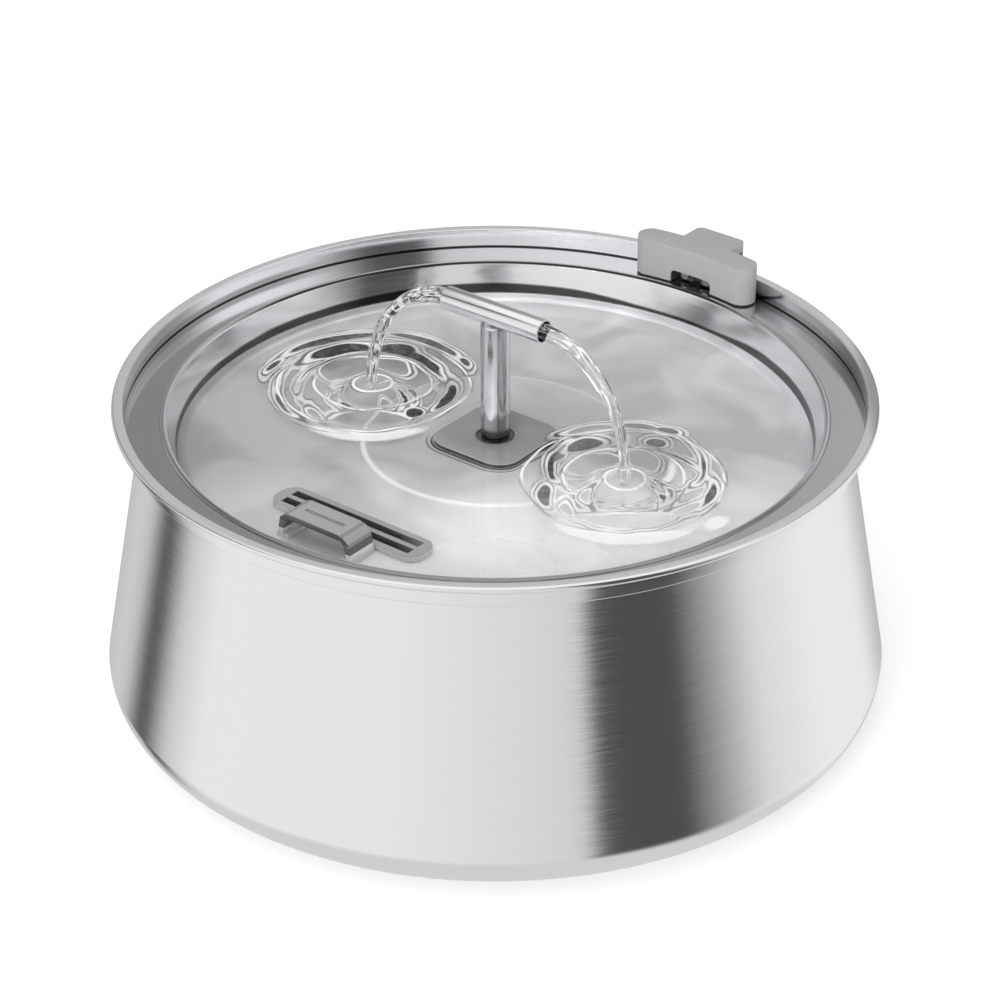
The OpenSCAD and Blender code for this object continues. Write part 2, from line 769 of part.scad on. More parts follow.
module cord_clip() {
    color("darkgray") difference() {
        union() {
            translate([0, 0, z_clip]) linear_extrude(z_clip_top - z_clip) clip_bar_outline();
            translate([0, 0, z_plate]) linear_extrude(clip_plate) stem_outline();
            translate([0, 0, z_lip]) linear_extrude(z_clip_top - z_lip) intersection() {
                stem_outline();
                translate([-stem_w / 2, lip_y]) square([stem_w, lip_t]);
            }
        }
        along_y(clip_in_r - 2 * clip_end_r, cavity_y, z_clip) notch_outline();
        translate([-cord_window_w / 2, grommet_y, z_clip])
            cube([cord_window_w, clip_out_r - grommet_y + over, z_plate - z_clip]);
        bar_y(cord_exit_r, lip_y - over, stem_y + over, 0, z_cord);
        for (x = [-1, 1])
            bar_y(clamp_screw_r + fit_gap / 2, cavity_y - over, cavity_y + clamp_screw_grip + fit_gap,
                x * clamp_pitch / 2, z_clip + notch_h / 2);
    }
}

module clip_sole() {
    color("black") difference() {
        translate([0, 0, z_sole]) linear_extrude(sole_t) clip_bar_outline(sole_inset);
        translate([-notch_w / 2, clip_in_r - 2 * clip_end_r, z_sole - over])
            cube([notch_w, cavity_y - clip_in_r + 2 * clip_end_r, sole_t + 2 * over]);
    }
}

module cord_clamp() {
    z_low = z_clip + fit_gap;
    color("dimgray") difference() {
        translate([-clamp_w / 2, clamp_y, z_low]) cube([clamp_w, clamp_t, clamp_h]);
        translate([0, clamp_y, z_low - over]) cylinder(r = cord_way_r, h = clamp_h + 2 * over);
        for (x = [-1, 1])
            bar_y(clamp_screw_r + fit_gap / 2, clamp_y - over, clamp_y + clamp_t + over,
                x * clamp_pitch / 2, z_clip + notch_h / 2);
    }
}

module clamp_screws() {
    color("gainsboro") for (x = [-1, 1]) {
        bar_y(clamp_head_r, clamp_y - clamp_head_t, clamp_y, x * clamp_pitch / 2,
            z_clip + notch_h / 2);
        bar_y(clamp_screw_r, clamp_y, cavity_y + clamp_screw_grip, x * clamp_pitch / 2,
            z_clip + notch_h / 2);
    }
}

module filter_box() {
    color("white") difference() {
        translate([0, 0, z_floor]) cylinder(r = box_r, h = box_h);
        translate([0, 0, z_box_floor]) cylinder(r = box_r - box_wall, h = box_h);
        translate([-box_notch_w / 2, box_r - box_wall - over, z_box_top - box_notch_h])
            cube([box_notch_w, box_wall + 2 * over, box_notch_h + over]);
    }
}

module filter_lid() {
    color("whitesmoke") difference() {
        union() {
            translate([0, 0, z_lid]) cylinder(r = box_r, h = lid_t);
            tube_z(lid_skirt_r, lid_in_r, z_skirt, z_lid);
            tube_z(lid_skirt_r, lid_in_r - lid_lip, z_skirt, z_skirt + lid_lip_t);
            translate([0, 0, z_skirt + lid_lip_t]) cylinder(r = lid_guide_r, h = lid_skirt - lid_lip_t);
            for (side = [-1, 1])
                translate([side * lid_tab_x - lid_tab_t / 2, -lid_tab_len / 2, z_lid])
                    cube([lid_tab_t, lid_tab_len, lid_t + lid_tab_h]);
        }
        translate([0, 0, z_skirt - over]) cylinder(r = lid_hole_r, h = lid_skirt + lid_t + 2 * over);
        for (i = [0 : lid_slots - 1]) rotate((i + 0.5) * 360 / lid_slots)
            translate([lid_slot_in, -lid_slot_w / 2, z_lid - over / 2])
                cube([lid_slot_out - lid_slot_in, lid_slot_w, lid_t + over]);
    }
}

module filter_cartridge() {
    color("lightsteelblue")
        tube_z(lid_in_r - fit_gap, lid_guide_r + fit_gap, z_cartridge, z_fleece);
}

module filter_fleece() {
    color("white")
        tube_z(lid_in_r - fit_gap, lid_guide_r + fit_gap, z_fleece, z_fleece + fleece_t);
}

module pump_housing() {
    color("dimgray") difference() {
        union() {
            difference() {
                along_y(-pump_front, pump_back, z_axis) rounded(pump_w, pump_h, pump_corner);
                along_y(cavity_start, pump_back + over, z_axis)
                    rounded(cavity_w, cavity_h, pump_corner - case_wall / 2);
            }
            bar_y(well_out_r, chamber_back, well_end + well_wall, 0, z_axis);
            translate([0, 0, z_pump_top - over]) cylinder(r = nozzle_r, h = nozzle_len + over);
        }
        bar_y(chamber_r, -pump_front - over, chamber_back, 0, z_axis);
        bar_y(well_r, chamber_back - over, well_end, 0, z_axis);
        translate([0, 0, z_axis])
            cylinder(r = nozzle_r - nozzle_wall, h = pump_h / 2 + nozzle_len + over);
        translate([0, -pump_front, z_axis]) rotate([90, 0, 0])
            ring_z(cover_seal_mid, cover_seal_r + fit_gap / 2, 0);
        for (x = [-1, 1], z = [-1, 1])
            bar_y(cover_screw_r + fit_gap / 2, -pump_front - over, cover_screw_len - pump_front,
                x * cover_screw_x, z_axis + z * cover_screw_z);
        for (cup = CUPS) translate([cup[0], cup[1], z_pump - over])
            cylinder(r = cup_neck_r + fit_gap / 2, h = cup_plug + fit_gap + over);
    }
}

module pump_cover() {
    color("gray") difference() {
        along_y(cover_y, -pump_front, z_axis) rounded(pump_w, pump_h, pump_corner);
        bar_y(bush_front_r + fit_gap / 2, bush_front_y - fit_gap, -pump_front + over, 0, z_axis);
        bar_y(pivot_r + pivot_fit, cover_y - over, cover_y + pivot_len + fit_gap, 0, z_axis);
        along_y(cover_y - over, -pump_front + over, z_axis) intake_windows();
        translate([0, -pump_front, z_axis]) rotate([90, 0, 0])
            ring_z(cover_seal_mid, cover_seal_r + fit_gap / 2, 0);
        for (x = [-1, 1], z = [-1, 1]) {
            bar_y(cover_screw_r + fit_gap / 2, cover_y - over, -pump_front + over,
                x * cover_screw_x, z_axis + z * cover_screw_z);
            bar_y(cover_head_r + fit_gap, cover_y - over, cover_y + cover_head_t + fit_gap,
                x * cover_screw_x, z_axis + z * cover_screw_z);
        }
    }
}

// Outline of the intake windows, seen from the front
module intake_windows() {
    for (i = [0 : windows - 1]) rotate(i * 360 / windows + 90) intersection() {
        difference() {
            circle(r = window_out);
            circle(r = window_in);
        }
        polygon([[0, 0], for (side = [-1, 1])
            2 * window_out * [cos(side * window_angle / 2), sin(side * window_angle / 2)]]);
    }
}

module cover_seal() {
    color("black") translate([0, -pump_front, z_axis]) rotate([90, 0, 0])
        ring_z(cover_seal_mid, cover_seal_r, 0);
}

module cover_screws() {
    head_end = cover_y + fit_gap + cover_head_t;
    color("gainsboro") for (x = [-1, 1], z = [-1, 1]) {
        bar_y(cover_head_r, cover_y + fit_gap, head_end, x * cover_screw_x,
            z_axis + z * cover_screw_z);
        bar_y(cover_screw_r, head_end, cover_screw_len - pump_front - fit_gap,
            x * cover_screw_x, z_axis + z * cover_screw_z);
    }
}

module pump_rear_cap() {
    color("gray") difference() {
        along_y(pump_back, pump_back + cap_t, z_axis) rounded(pump_w, pump_h, pump_corner);
        bar_y(gland_r + fit_gap / 2, pump_back - over, pump_back + cap_t + over, gland_x, gland_z);
    }
}

module pump_gland() {
    outer = pump_back + cap_t;
    color("black") difference() {
        union() {
            bar_y(gland_r, pump_back, outer, gland_x, gland_z);
            bar_y(gland_flange_r, outer, outer + gland_flange_t, gland_x, gland_z);
            bar_y(gland_nose_r, outer, outer + gland_flange_t + gland_nose, gland_x, gland_z);
        }
        bar_y(cord_way_r, pump_back - over, outer + gland_flange_t + gland_nose + over,
            gland_x, gland_z);
    }
}

module stator_core() {
    color("slategray") difference() {
        bar_y(stator_r, stator_y, stator_y + stator_len, 0, z_axis);
        bar_y(coil_r, stator_y - over, stator_y + stator_len + over, 0, z_axis);
    }
}

module stator_coil() {
    color("peru") difference() {
        bar_y(coil_r - fit_gap / 2, stator_y, stator_y + stator_len, 0, z_axis);
        bar_y(well_out_r + fit_gap / 2, stator_y - over, stator_y + stator_len + over, 0, z_axis);
    }
}

module driver_board() {
    color("seagreen") difference() {
        along_y(board_y, board_y + board_t, z_axis)
            rounded(cavity_w - 2 * fit_gap, cavity_h - 2 * fit_gap, pump_corner - case_wall / 2);
        bar_y(well_out_r + fit_gap / 2, board_y - over, board_y + board_t + over, 0, z_axis);
    }
}

module impeller_shaft() {
    color("white") bar_y(shaft_r, bush_front_y + fit_gap, well_end - fit_gap, 0, z_axis);
}

module shaft_bush_front() {
    color("black") difference() {
        bar_y(bush_front_r, bush_front_y, bush_front_y + bush_t, 0, z_axis);
        bar_y(shaft_r + bush_fit, bush_front_y - over, bush_front_y + bush_t + over, 0, z_axis);
    }
}

module shaft_bush_rear() {
    color("black") difference() {
        bar_y(well_r - fit_gap / 2, well_end - bush_t, well_end, 0, z_axis);
        bar_y(shaft_r + bush_fit, well_end - bush_t - over, well_end + over, 0, z_axis);
    }
}

// One suction cup under the pump
module suction_cup(i) {
    color("darkgray") translate([CUPS[i][0], CUPS[i][1], z_box_floor]) rotate_extrude($fn = 48)
        polygon([[0, cup_hollow], [cup_r - cup_lip_w, 0], [cup_r, 0], [cup_r, cup_lip_t],
            [cup_neck_r, cup_bell_h], [cup_neck_r, cup_h + cup_plug], [0, cup_h + cup_plug]]);
}

module pre_filter_foam() {
    color("lightslategray") difference() {
        translate([0, foam_y + foam_len / 2, z_box_floor]) linear_extrude(foam_h)
            rounded(foam_w, foam_len, foam_corner);
        bar_y(foam_pocket_r, cover_y - foam_pocket, cover_y + over, 0, z_axis);
    }
}

module riser_pipe() {
    color("whitesmoke") tube_z(riser_r, nozzle_r + fit_gap / 2, z_pump_top, z_pipe_top);
}

module rotor_magnet() {
    color("darkslategray") difference() {
        bar_y(well_r - rotor_gap, rotor_y, rotor_end, 0, z_axis);
        bar_y(shaft_r + shaft_fit, rotor_y - over, rotor_end + over, 0, z_axis);
    }
}

module impeller() {
    blade_r = chamber_r - blade_gap;
    color("white") difference() {
        union() {
            bar_y(hub_r, blade_y - hub_front, rotor_y, 0, z_axis);
            bar_y(blade_r, shroud_y, shroud_y + shroud_t, 0, z_axis);
            along_y(blade_y, shroud_y, z_axis) for (i = [0 : blades - 1]) rotate(i * 360 / blades)
                translate([0, -blade_t / 2]) square([blade_r, blade_t]);
        }
        bar_y(shaft_r + shaft_fit, blade_y - over, rotor_y + over, 0, z_axis);
    }
}

module flow_dial() {
    color("dimgray") {
        difference() {
            along_y(dial_y, dial_y + dial_t, z_axis) union() {
                circle(r = dial_r);
                rotate(90) translate([0, -dial_tab_w / 2]) square([dial_r + dial_tab, dial_tab_w]);
            }
            along_y(dial_y - over, dial_y + dial_t + over, z_axis) intake_windows();
        }
        bar_y(pivot_r, dial_y + dial_t, cover_y + pivot_len, 0, z_axis);
    }
}

bowl();
foot_ring();
filter_box();
pump_housing();
pump_cover();
cover_seal();
cover_screws();
pump_rear_cap();
pump_gland();
stator_core();
stator_coil();
driver_board();
impeller_shaft();
shaft_bush_front();
shaft_bush_rear();
suction_cup(0);  // suction_cup_1
suction_cup(1);  // suction_cup_2
suction_cup(2);  // suction_cup_3
suction_cup(3);  // suction_cup_4
pre_filter_foam();
riser_pipe();
rotor_magnet();
impeller();
flow_dial();
filter_lid();
filter_cartridge();
filter_fleece();
tray();
tray_handle();
handle_screws();
spout_pad();
flange_grommet();
drain_grille();
spout_coupler();
coupler_seals();
spout_riser();
spout_crossbar();
cord_clip();
clip_sole();
cord_clamp();
clamp_screws();
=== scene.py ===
"""Dresses the pet water fountain: camera, light tent, steel, plastics, silicone and moving water."""

import math
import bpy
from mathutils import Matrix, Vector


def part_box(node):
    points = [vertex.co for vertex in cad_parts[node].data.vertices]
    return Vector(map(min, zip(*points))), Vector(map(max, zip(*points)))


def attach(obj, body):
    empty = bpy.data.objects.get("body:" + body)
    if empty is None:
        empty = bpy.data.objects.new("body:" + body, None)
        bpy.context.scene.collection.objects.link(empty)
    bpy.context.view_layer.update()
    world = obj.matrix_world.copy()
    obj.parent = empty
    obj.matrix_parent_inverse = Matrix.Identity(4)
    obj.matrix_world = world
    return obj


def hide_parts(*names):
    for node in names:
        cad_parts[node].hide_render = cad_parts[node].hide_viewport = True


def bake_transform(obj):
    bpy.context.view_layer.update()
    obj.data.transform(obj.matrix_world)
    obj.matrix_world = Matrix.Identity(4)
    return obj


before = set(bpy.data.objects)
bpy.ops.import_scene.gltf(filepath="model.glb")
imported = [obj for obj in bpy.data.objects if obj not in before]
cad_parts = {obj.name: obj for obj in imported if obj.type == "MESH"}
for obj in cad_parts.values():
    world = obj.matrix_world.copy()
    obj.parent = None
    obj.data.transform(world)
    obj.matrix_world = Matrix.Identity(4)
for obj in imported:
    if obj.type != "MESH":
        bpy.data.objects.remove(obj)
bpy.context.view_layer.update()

from types import SimpleNamespace

import bmesh
import bpy
from mathutils import Matrix, Vector, noise

MM = 0.001

# ---------------------------------------------------------------- sizes read from the frame
BOWL_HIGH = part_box("bowl")[1]
TRAY_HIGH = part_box("tray")[1]
BAR_LOW, BAR_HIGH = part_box("spout_crossbar")
RISER_LOW, RISER_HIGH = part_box("spout_riser")
PAD_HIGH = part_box("spout_pad")[1]

RIM_TOP = BOWL_HIGH.z
BAR_AXIS = (BAR_LOW.z + BAR_HIGH.z) / 2
BAR_RADIUS = (BAR_HIGH.z - BAR_LOW.z) / 2
RISER_RADIUS = RISER_HIGH.x
PAD_CORNER = 10 * MM

# ---------------------------------------------------------------- the camera
VIEW_AZIMUTH = math.radians(38.3)
VIEW_RISE = math.radians(30.15)
VIEW_DISTANCE = 1.3222
VIEW_LENS_MM = 113.55
AIM_BELOW_RIM = 53.3 * MM
AIM_ASIDE = 1.95 * MM
# Level directions on the table: towards the viewer, and to the viewer's right.
FRONT = Vector((math.sin(VIEW_AZIMUTH), -math.cos(VIEW_AZIMUTH), 0))
ASIDE = Vector((math.cos(VIEW_AZIMUTH), math.sin(VIEW_AZIMUTH), 0))


def make_camera():
    """Places the camera round the bowl's axis, aimed below the rim."""
    away = FRONT * math.cos(VIEW_RISE)
    away.z = math.sin(VIEW_RISE)
    camera = bpy.data.objects.new("Camera", bpy.data.cameras.new("Camera"))
    bpy.context.scene.collection.objects.link(camera)
    camera.data.sensor_width = 36
    camera.data.lens = VIEW_LENS_MM
    camera.data.clip_start, camera.data.clip_end = 0.05, 60
    camera.location = Vector((0, 0, RIM_TOP - AIM_BELOW_RIM)) + ASIDE * AIM_ASIDE + away * VIEW_DISTANCE
    camera.rotation_mode = "QUATERNION"
    camera.rotation_quaternion = (-away).to_track_quat("-Z", "Y")
    bpy.context.scene.camera = camera


# ---------------------------------------------------------------- node helpers
def put(tree, kind, inputs=None, **settings):
    """Adds a node, fills its sockets with numbers or links, and returns it."""
    made = tree.nodes.new(kind)
    for name, value in settings.items():
        setattr(made, name, value)
    for socket, value in (inputs or {}).items():
        if isinstance(value, bpy.types.NodeSocket):
            tree.links.new(value, made.inputs[socket])
        else:
            made.inputs[socket].default_value = value
    return made


def math_node(tree, operation, first, second=0.0):
    """The result of a sum on one or two values."""
    return put(tree, "ShaderNodeMath", {0: first, 1: second}, operation=operation).outputs[0]


def all_of(tree, *shares):
    """The product of several shares."""
    result = shares[0]
    for share in shares[1:]:
        result = math_node(tree, "MULTIPLY", result, share)
    return result


def flat_length(tree, across, along):
    """The length of a vector with two parts."""
    flat = put(tree, "ShaderNodeCombineXYZ", {0: across, 1: along}).outputs[0]
    return put(tree, "ShaderNodeVectorMath", {0: flat}, operation="LENGTH").outputs["Value"]


def ramp(tree, value, start, end, low=0.0, high=1.0):
    """A smooth step from low at start to high at end."""
    inputs = {"Value": value, "From Min": start, "From Max": end, "To Min": low, "To Max": high}
    return put(tree, "ShaderNodeMapRange", inputs, interpolation_type="SMOOTHSTEP").outputs[0]


def from_mm(tree, value, start, end, base=0.0):
    """Nothing up to start and one from end on, both in mm over a base in metres."""
    return ramp(tree, value, base + start * MM, base + end * MM)


def until_mm(tree, value, start, end, base=0.0):
    """One up to start and nothing from end on, both in mm over a base in metres."""
    return ramp(tree, value, base + start * MM, base + end * MM, 1.0, 0.0)


def hump(tree, value, edges):
    """One between the two middle edges, falling softly to nothing at the outer two."""
    up = ramp(tree, value, edges[0], edges[1])
    return math_node(tree, "MULTIPLY", up, ramp(tree, value, edges[2], edges[3], 1.0, 0.0))


def between_mm(tree, value, edges, base=0.0):
    """A hump whose edges are in mm over a base in metres."""
    return hump(tree, value, [base + edge * MM for edge in edges])


def blend_levels(tree, share, first, second):
    """first where share is 0, second where it is 1."""
    inputs = {"Value": share, "From Min": 0.0, "From Max": 1.0, "To Min": first, "To Max": second}
    return put(tree, "ShaderNodeMapRange", inputs).outputs[0]


def blank_material(name):
    """A node material with a Principled shader joined to its output."""
    material = bpy.data.materials.new(name)
    material.use_nodes = True
    tree = material.node_tree
    tree.nodes.clear()
    shader = put(tree, "ShaderNodeBsdfPrincipled")
    put(tree, "ShaderNodeOutputMaterial", {"Surface": shader.outputs[0]})
    return material, tree, shader


def grey(level, warmth=0.0):
    """A near-neutral colour; positive warmth is warmer, negative is cooler."""
    return (level * (1 + warmth), level, level * (1 - warmth), 1)


# ---------------------------------------------------------------- studio
FLOOR_SIZE = 24.0
TENT_RADIUS = 9.0
AMBIENT = 0.84
KEY_WATTS = 3.8
KEY_SIZE = 1.3
KEY_HEIGHT = 1.7
FILL_WATTS = 38.0
FLOOR_LIFT = 0.22


def make_world():
    """White for what sees the background, a softer level for what is lit by it."""
    world = bpy.data.worlds.new("Studio")
    bpy.context.scene.world = world
    world.use_nodes = True
    tree = world.node_tree
    tree.nodes.clear()
    path = put(tree, "ShaderNodeLightPath")
    seen = math_node(tree, "MAXIMUM", path.outputs["Is Camera Ray"], path.outputs["Is Glossy Ray"])
    seen = math_node(tree, "MAXIMUM", seen, path.outputs["Is Transmission Ray"])
    strength = put(tree, "ShaderNodeMapRange", {"Value": seen, "To Min": AMBIENT, "To Max": 1.0})
    sky = put(tree, "ShaderNodeBackground", {"Color": (1, 1, 1, 1), "Strength": strength.outputs[0]})
    put(tree, "ShaderNodeOutputWorld", {"Surface": sky.outputs[0]})


def floor_material():
    """Pale floor that is lifted to white for the camera and keeps the bowl's shadow."""
    material, tree, shader = blank_material("Floor")
    shader.inputs["Base Color"].default_value = grey(0.94)
    shader.inputs["Roughness"].default_value = 1.0
    shader.inputs["Specular IOR Level"].default_value = 0.0
    path = put(tree, "ShaderNodeLightPath")
    lift = math_node(tree, "MULTIPLY", path.outputs["Is Camera Ray"], FLOOR_LIFT)
    shader.inputs["Emission Color"].default_value = (1, 1, 1, 1)
    tree.links.new(lift, shader.inputs["Emission Strength"])
    return material


def make_floor():
    """The floor is seen by the camera and by what stands on it, not in reflections."""
    shape = bmesh.new()
    bmesh.ops.create_grid(shape, x_segments=4, y_segments=4, size=FLOOR_SIZE / 2)
    floor = finish_mesh("Floor", shape, floor_material())
    floor.visible_glossy = False
    floor.visible_transmission = False


# The tent all the way round the bowl: degrees from the camera's side to its right, and how
# bright it shows in bright steel, from 0 to 255: a dark flag at each side, white walls between.
STEEL_SHINE = 0.9
TENT_ROUND = ((-180, 165), (-135, 200), (-127, 190), (-117, 75), (-112, 90), (-102, 200), (-88, 230),
    (-30, 228), (24, 207), (29, 72), (53, 72), (64, 150), (80, 215), (105, 233), (130, 230), (145, 190),
    (165, 163), (180, 165))
# The flags lean: each turn is stretched by this share for every degree of rise, more above the middle.
TENT_LEAN, TENT_LEAN_ABOVE = 0.0035, 0.0062
TENT_MIDDLE = -15.0
# Below these rises the floor shows, above those the white roof.
FLOOR_RISE, FLOOR_SHOWS = (-50.0, -38.0), 205
ROOF_RISE = (44.0, 58.0)
# A grey band at the back, darker at its left end: turns go on past 180 to the left.
BAND_TURN = (122.0, 150.0, 210.0, 236.0)
BAND_RISE = (15.0, 23.0, 38.0, 46.0)
BAND_SHOWS = ((166.0, 176), (173.0, 158), (180.0, 146), (187.0, 130), (194.0, 116))


def shown(level):
    """The light that makes bright steel show a level from 0 to 255."""
    part = level / 255
    return ((part + 0.055) / 1.055) ** 2.4 / STEEL_SHINE


def stops_node(tree, value, stops, first, last):
    """A colour ramp through (value, level) stops, as a brightness socket."""
    share = math_node(tree, "DIVIDE", math_node(tree, "SUBTRACT", value, first), last - first)
    made = put(tree, "ShaderNodeValToRGB", {"Fac": share})
    marks = made.color_ramp.elements
    while len(marks) < len(stops):
        marks.new(1.0)
    for mark, (place, level) in zip(marks, stops):
        mark.position = (place - first) / (last - first)
    for mark, (place, level) in zip(marks, stops):
        mark.color = (level, level, level, 1)
    return made.outputs["Color"]


def tent_material():
    """White tent with leaning dark flags, a grey band at the back and a pale floor."""
    material = bpy.data.materials.new("Tent")
    material.use_nodes = True
    tree = material.node_tree
    tree.nodes.clear()
    place = put(tree, "ShaderNodeTexCoord").outputs["Object"]
    turned = put(tree, "ShaderNodeMapping", {"Vector": place, "Rotation": (0, 0, -VIEW_AZIMUTH)})
    x, y, z = put(tree, "ShaderNodeSeparateXYZ", {0: turned.outputs[0]}).outputs
    flat = flat_length(tree, x, y)
    near = math_node(tree, "MULTIPLY", y, -1.0)
    turn = math_node(tree, "DEGREES", math_node(tree, "ARCTAN2", x, near))
    rise = math_node(tree, "DEGREES", math_node(tree, "ARCTAN2", z, flat))
    from_middle = math_node(tree, "SUBTRACT", math_node(tree, "MINIMUM", rise, ROOF_RISE[0]), TENT_MIDDLE)
    is_above = math_node(tree, "GREATER_THAN", from_middle, 0.0)
    lean = math_node(tree, "MULTIPLY", from_middle, blend_levels(tree, is_above, TENT_LEAN, TENT_LEAN_ABOVE))
    leaning = math_node(tree, "MULTIPLY", turn, math_node(tree, "ADD", lean, 1.0))
    light = stops_node(tree, leaning, [(t, shown(v)) for t, v in TENT_ROUND], -180, 180)
    light = blend_levels(tree, ramp(tree, rise, *FLOOR_RISE, 1, 0), light, shown(FLOOR_SHOWS))
    light = blend_levels(tree, ramp(tree, rise, *ROOF_RISE), light, 1.0)
    past = math_node(tree, "MULTIPLY", math_node(tree, "LESS_THAN", turn, 0.0), 360.0)
    round_turn = math_node(tree, "ADD", turn, past)
    band = stops_node(tree, round_turn, [(t, shown(v)) for t, v in BAND_SHOWS], 120, 240)
    within = math_node(tree, "MULTIPLY", hump(tree, round_turn, BAND_TURN), hump(tree, rise, BAND_RISE))
    light = blend_levels(tree, within, light, band)
    glow = put(tree, "ShaderNodeEmission", {"Color": (1, 1, 1, 1), "Strength": light})
    put(tree, "ShaderNodeOutputMaterial", {"Surface": glow.outputs[0]})
    material.cycles.emission_sampling = "NONE"
    return material


def make_tent():
    """The tent is seen only in reflections and through clear water."""
    shape = bmesh.new()
    bmesh.ops.create_icosphere(shape, subdivisions=5, radius=TENT_RADIUS)
    tent = finish_mesh("Tent", shape, tent_material())
    tent.visible_camera = tent.visible_diffuse = tent.visible_shadow = False
    tent.visible_volume_scatter = False


def make_lamp(name, watts, size, place):
    """A square softbox aimed at the bowl."""
    lamp = bpy.data.objects.new(name, bpy.data.lights.new(name, "AREA"))
    bpy.context.scene.collection.objects.link(lamp)
    lamp.data.energy, lamp.data.size = watts, size
    lamp.visible_glossy = False
    lamp.location = place
    lamp.rotation_mode = "QUATERNION"
    lamp.rotation_quaternion = (Vector((0, 0, RIM_TOP)) - Vector(place)).to_track_quat("-Z", "Y")


def make_studio():
    """World, floor, tent and the two soft lamps."""
    make_world()
    make_floor()
    make_tent()
    make_lamp("Key", KEY_WATTS, KEY_SIZE, -ASIDE * 0.5 + Vector((0, 0, KEY_HEIGHT)))
    make_lamp("Fill", FILL_WATTS, KEY_SIZE, FRONT * 2.0 - ASIDE * 0.6 + Vector((0, 0, 0.5)))


# ---------------------------------------------------------------- mesh helpers
def finish_mesh(name, shape, material, smooth=True):
    """Turns a bmesh into a linked object with one material."""
    mesh = bpy.data.meshes.new(name)
    shape.to_mesh(mesh)
    shape.free()
    for face in mesh.polygons:
        face.use_smooth = smooth
    mesh.materials.append(material)
    made = bpy.data.objects.new(name, mesh)
    bpy.context.scene.collection.objects.link(made)
    return made


def arc(centre, radius, start, end, steps):
    """Points of an arc in the (radius, height) plane; angles in degrees from outwards, up."""
    points = []
    for step in range(steps + 1):
        angle = math.radians(start + (end - start) * step / steps)
        points.append((centre[0] + radius * math.cos(angle), centre[1] + radius * math.sin(angle)))
    return points


def lathe(profile, creases, steps=256, close=True):
    """Spins a (radius, height) outline about the Z axis; creases are points that stay sharp."""
    shape = bmesh.new()
    verts = [shape.verts.new((r, 0, z)) for r, z in profile]
    pairs = list(zip(verts, verts[1:])) + ([(verts[-1], verts[0])] if close else [])
    edges = [shape.edges.new(pair) for pair in pairs]
    bmesh.ops.spin(shape, geom=verts + edges, cent=(0, 0, 0), axis=(0, 0, 1), angle=2 * math.pi,
        steps=steps, use_merge=True)
    bmesh.ops.remove_doubles(shape, verts=shape.verts, dist=1e-7)
    bmesh.ops.recalc_face_normals(shape, faces=shape.faces)
    for edge in shape.edges:
        radii = [math.hypot(v.co.x, v.co.y) for v in edge.verts]
        heights = [v.co.z for v in edge.verts]
        for r, z in creases:
            if all(abs(a - r) < 1e-6 for a in radii) and all(abs(h - z) < 1e-6 for h in heights):
                edge.smooth = False
    return shape


def copy_node(name, dissolve=2.0):
    """A merged copy of a CAD node's mesh with its flat faces made whole."""
    shape = bmesh.new()
    shape.from_mesh(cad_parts[name].data)
    bmesh.ops.remove_doubles(shape, verts=shape.verts, dist=0.002 * MM)
    bmesh.ops.dissolve_limit(shape, angle_limit=math.radians(dissolve), verts=shape.verts, edges=shape.edges)
    return shape


def round_edges(shape, width, segments=3, sharper_than=30.0):
    """Rounds every edge that turns by more than the given angle."""
    limit = math.radians(sharper_than)
    edges = [e for e in shape.edges if e.is_manifold and e.calc_face_angle(0) > limit]
    bmesh.ops.bevel(shape, geom=edges, offset=width, offset_type="OFFSET", segments=segments, profile=0.5,
        affect="EDGES", clamp_overlap=True, material=-1)


def dress(name, body, nodes, shape, material, sharp=None):
    """Finishes a piece that stands for CAD nodes and makes it ride on its body."""
    piece = finish_mesh(name, shape, material)
    if sharp:
        piece.data.set_sharp_from_angle(angle=math.radians(sharp))
    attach(piece, body)
    if nodes:
        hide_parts(*nodes)
    return piece


# ---------------------------------------------------------------- finishes
def along_level(tree, x, y, way):
    """How far a point lies from the axis in a level direction."""
    across = math_node(tree, "MULTIPLY", x, way.x)
    return math_node(tree, "ADD", across, math_node(tree, "MULTIPLY", y, way.y))


def around(tree):
    """Where a point lies: its height, its reach from the axis, the way round it, to the front and right."""
    spot = SimpleNamespace()
    spot.place = put(tree, "ShaderNodeTexCoord").outputs["Object"]
    spot.x, spot.y, spot.z = put(tree, "ShaderNodeSeparateXYZ", {0: spot.place}).outputs
    spot.reach = math_node(tree, "MAXIMUM", flat_length(tree, spot.x, spot.y), 0.001)
    back = math_node(tree, "DIVIDE", math_node(tree, "MULTIPLY", spot.y, -1.0), spot.reach)
    side = math_node(tree, "DIVIDE", spot.x, spot.reach)
    spot.along = put(tree, "ShaderNodeCombineXYZ", {0: back, 1: side}).outputs[0]
    spot.front = along_level(tree, spot.x, spot.y, FRONT)
    spot.right = along_level(tree, spot.x, spot.y, ASIDE)
    return spot


def brush_lines(tree, way, fine, length, shift=0.0):
    """Streak noise: fine across the brushing and long along it."""
    spot = around(tree)
    across = spot.z if way == "wall" else spot.reach
    lines = math_node(tree, "ADD", math_node(tree, "MULTIPLY", across, fine), shift)
    bend = put(tree, "ShaderNodeVectorMath", {0: spot.along, 1: (length, length, 0)}, operation="MULTIPLY")
    bent = put(tree, "ShaderNodeSeparateXYZ", {0: bend.outputs[0]}).outputs
    vector = put(tree, "ShaderNodeCombineXYZ", {0: bent[0], 1: bent[1], 2: lines}).outputs[0]
    settings = {"Vector": vector, "Scale": 1.0, "Detail": 3.0, "Roughness": 0.6}
    return put(tree, "ShaderNodeTexNoise", settings).outputs[0]


GROOVE_DEPTH = 0.02 * MM
GRAIN_DEPTH = 0.05 * MM


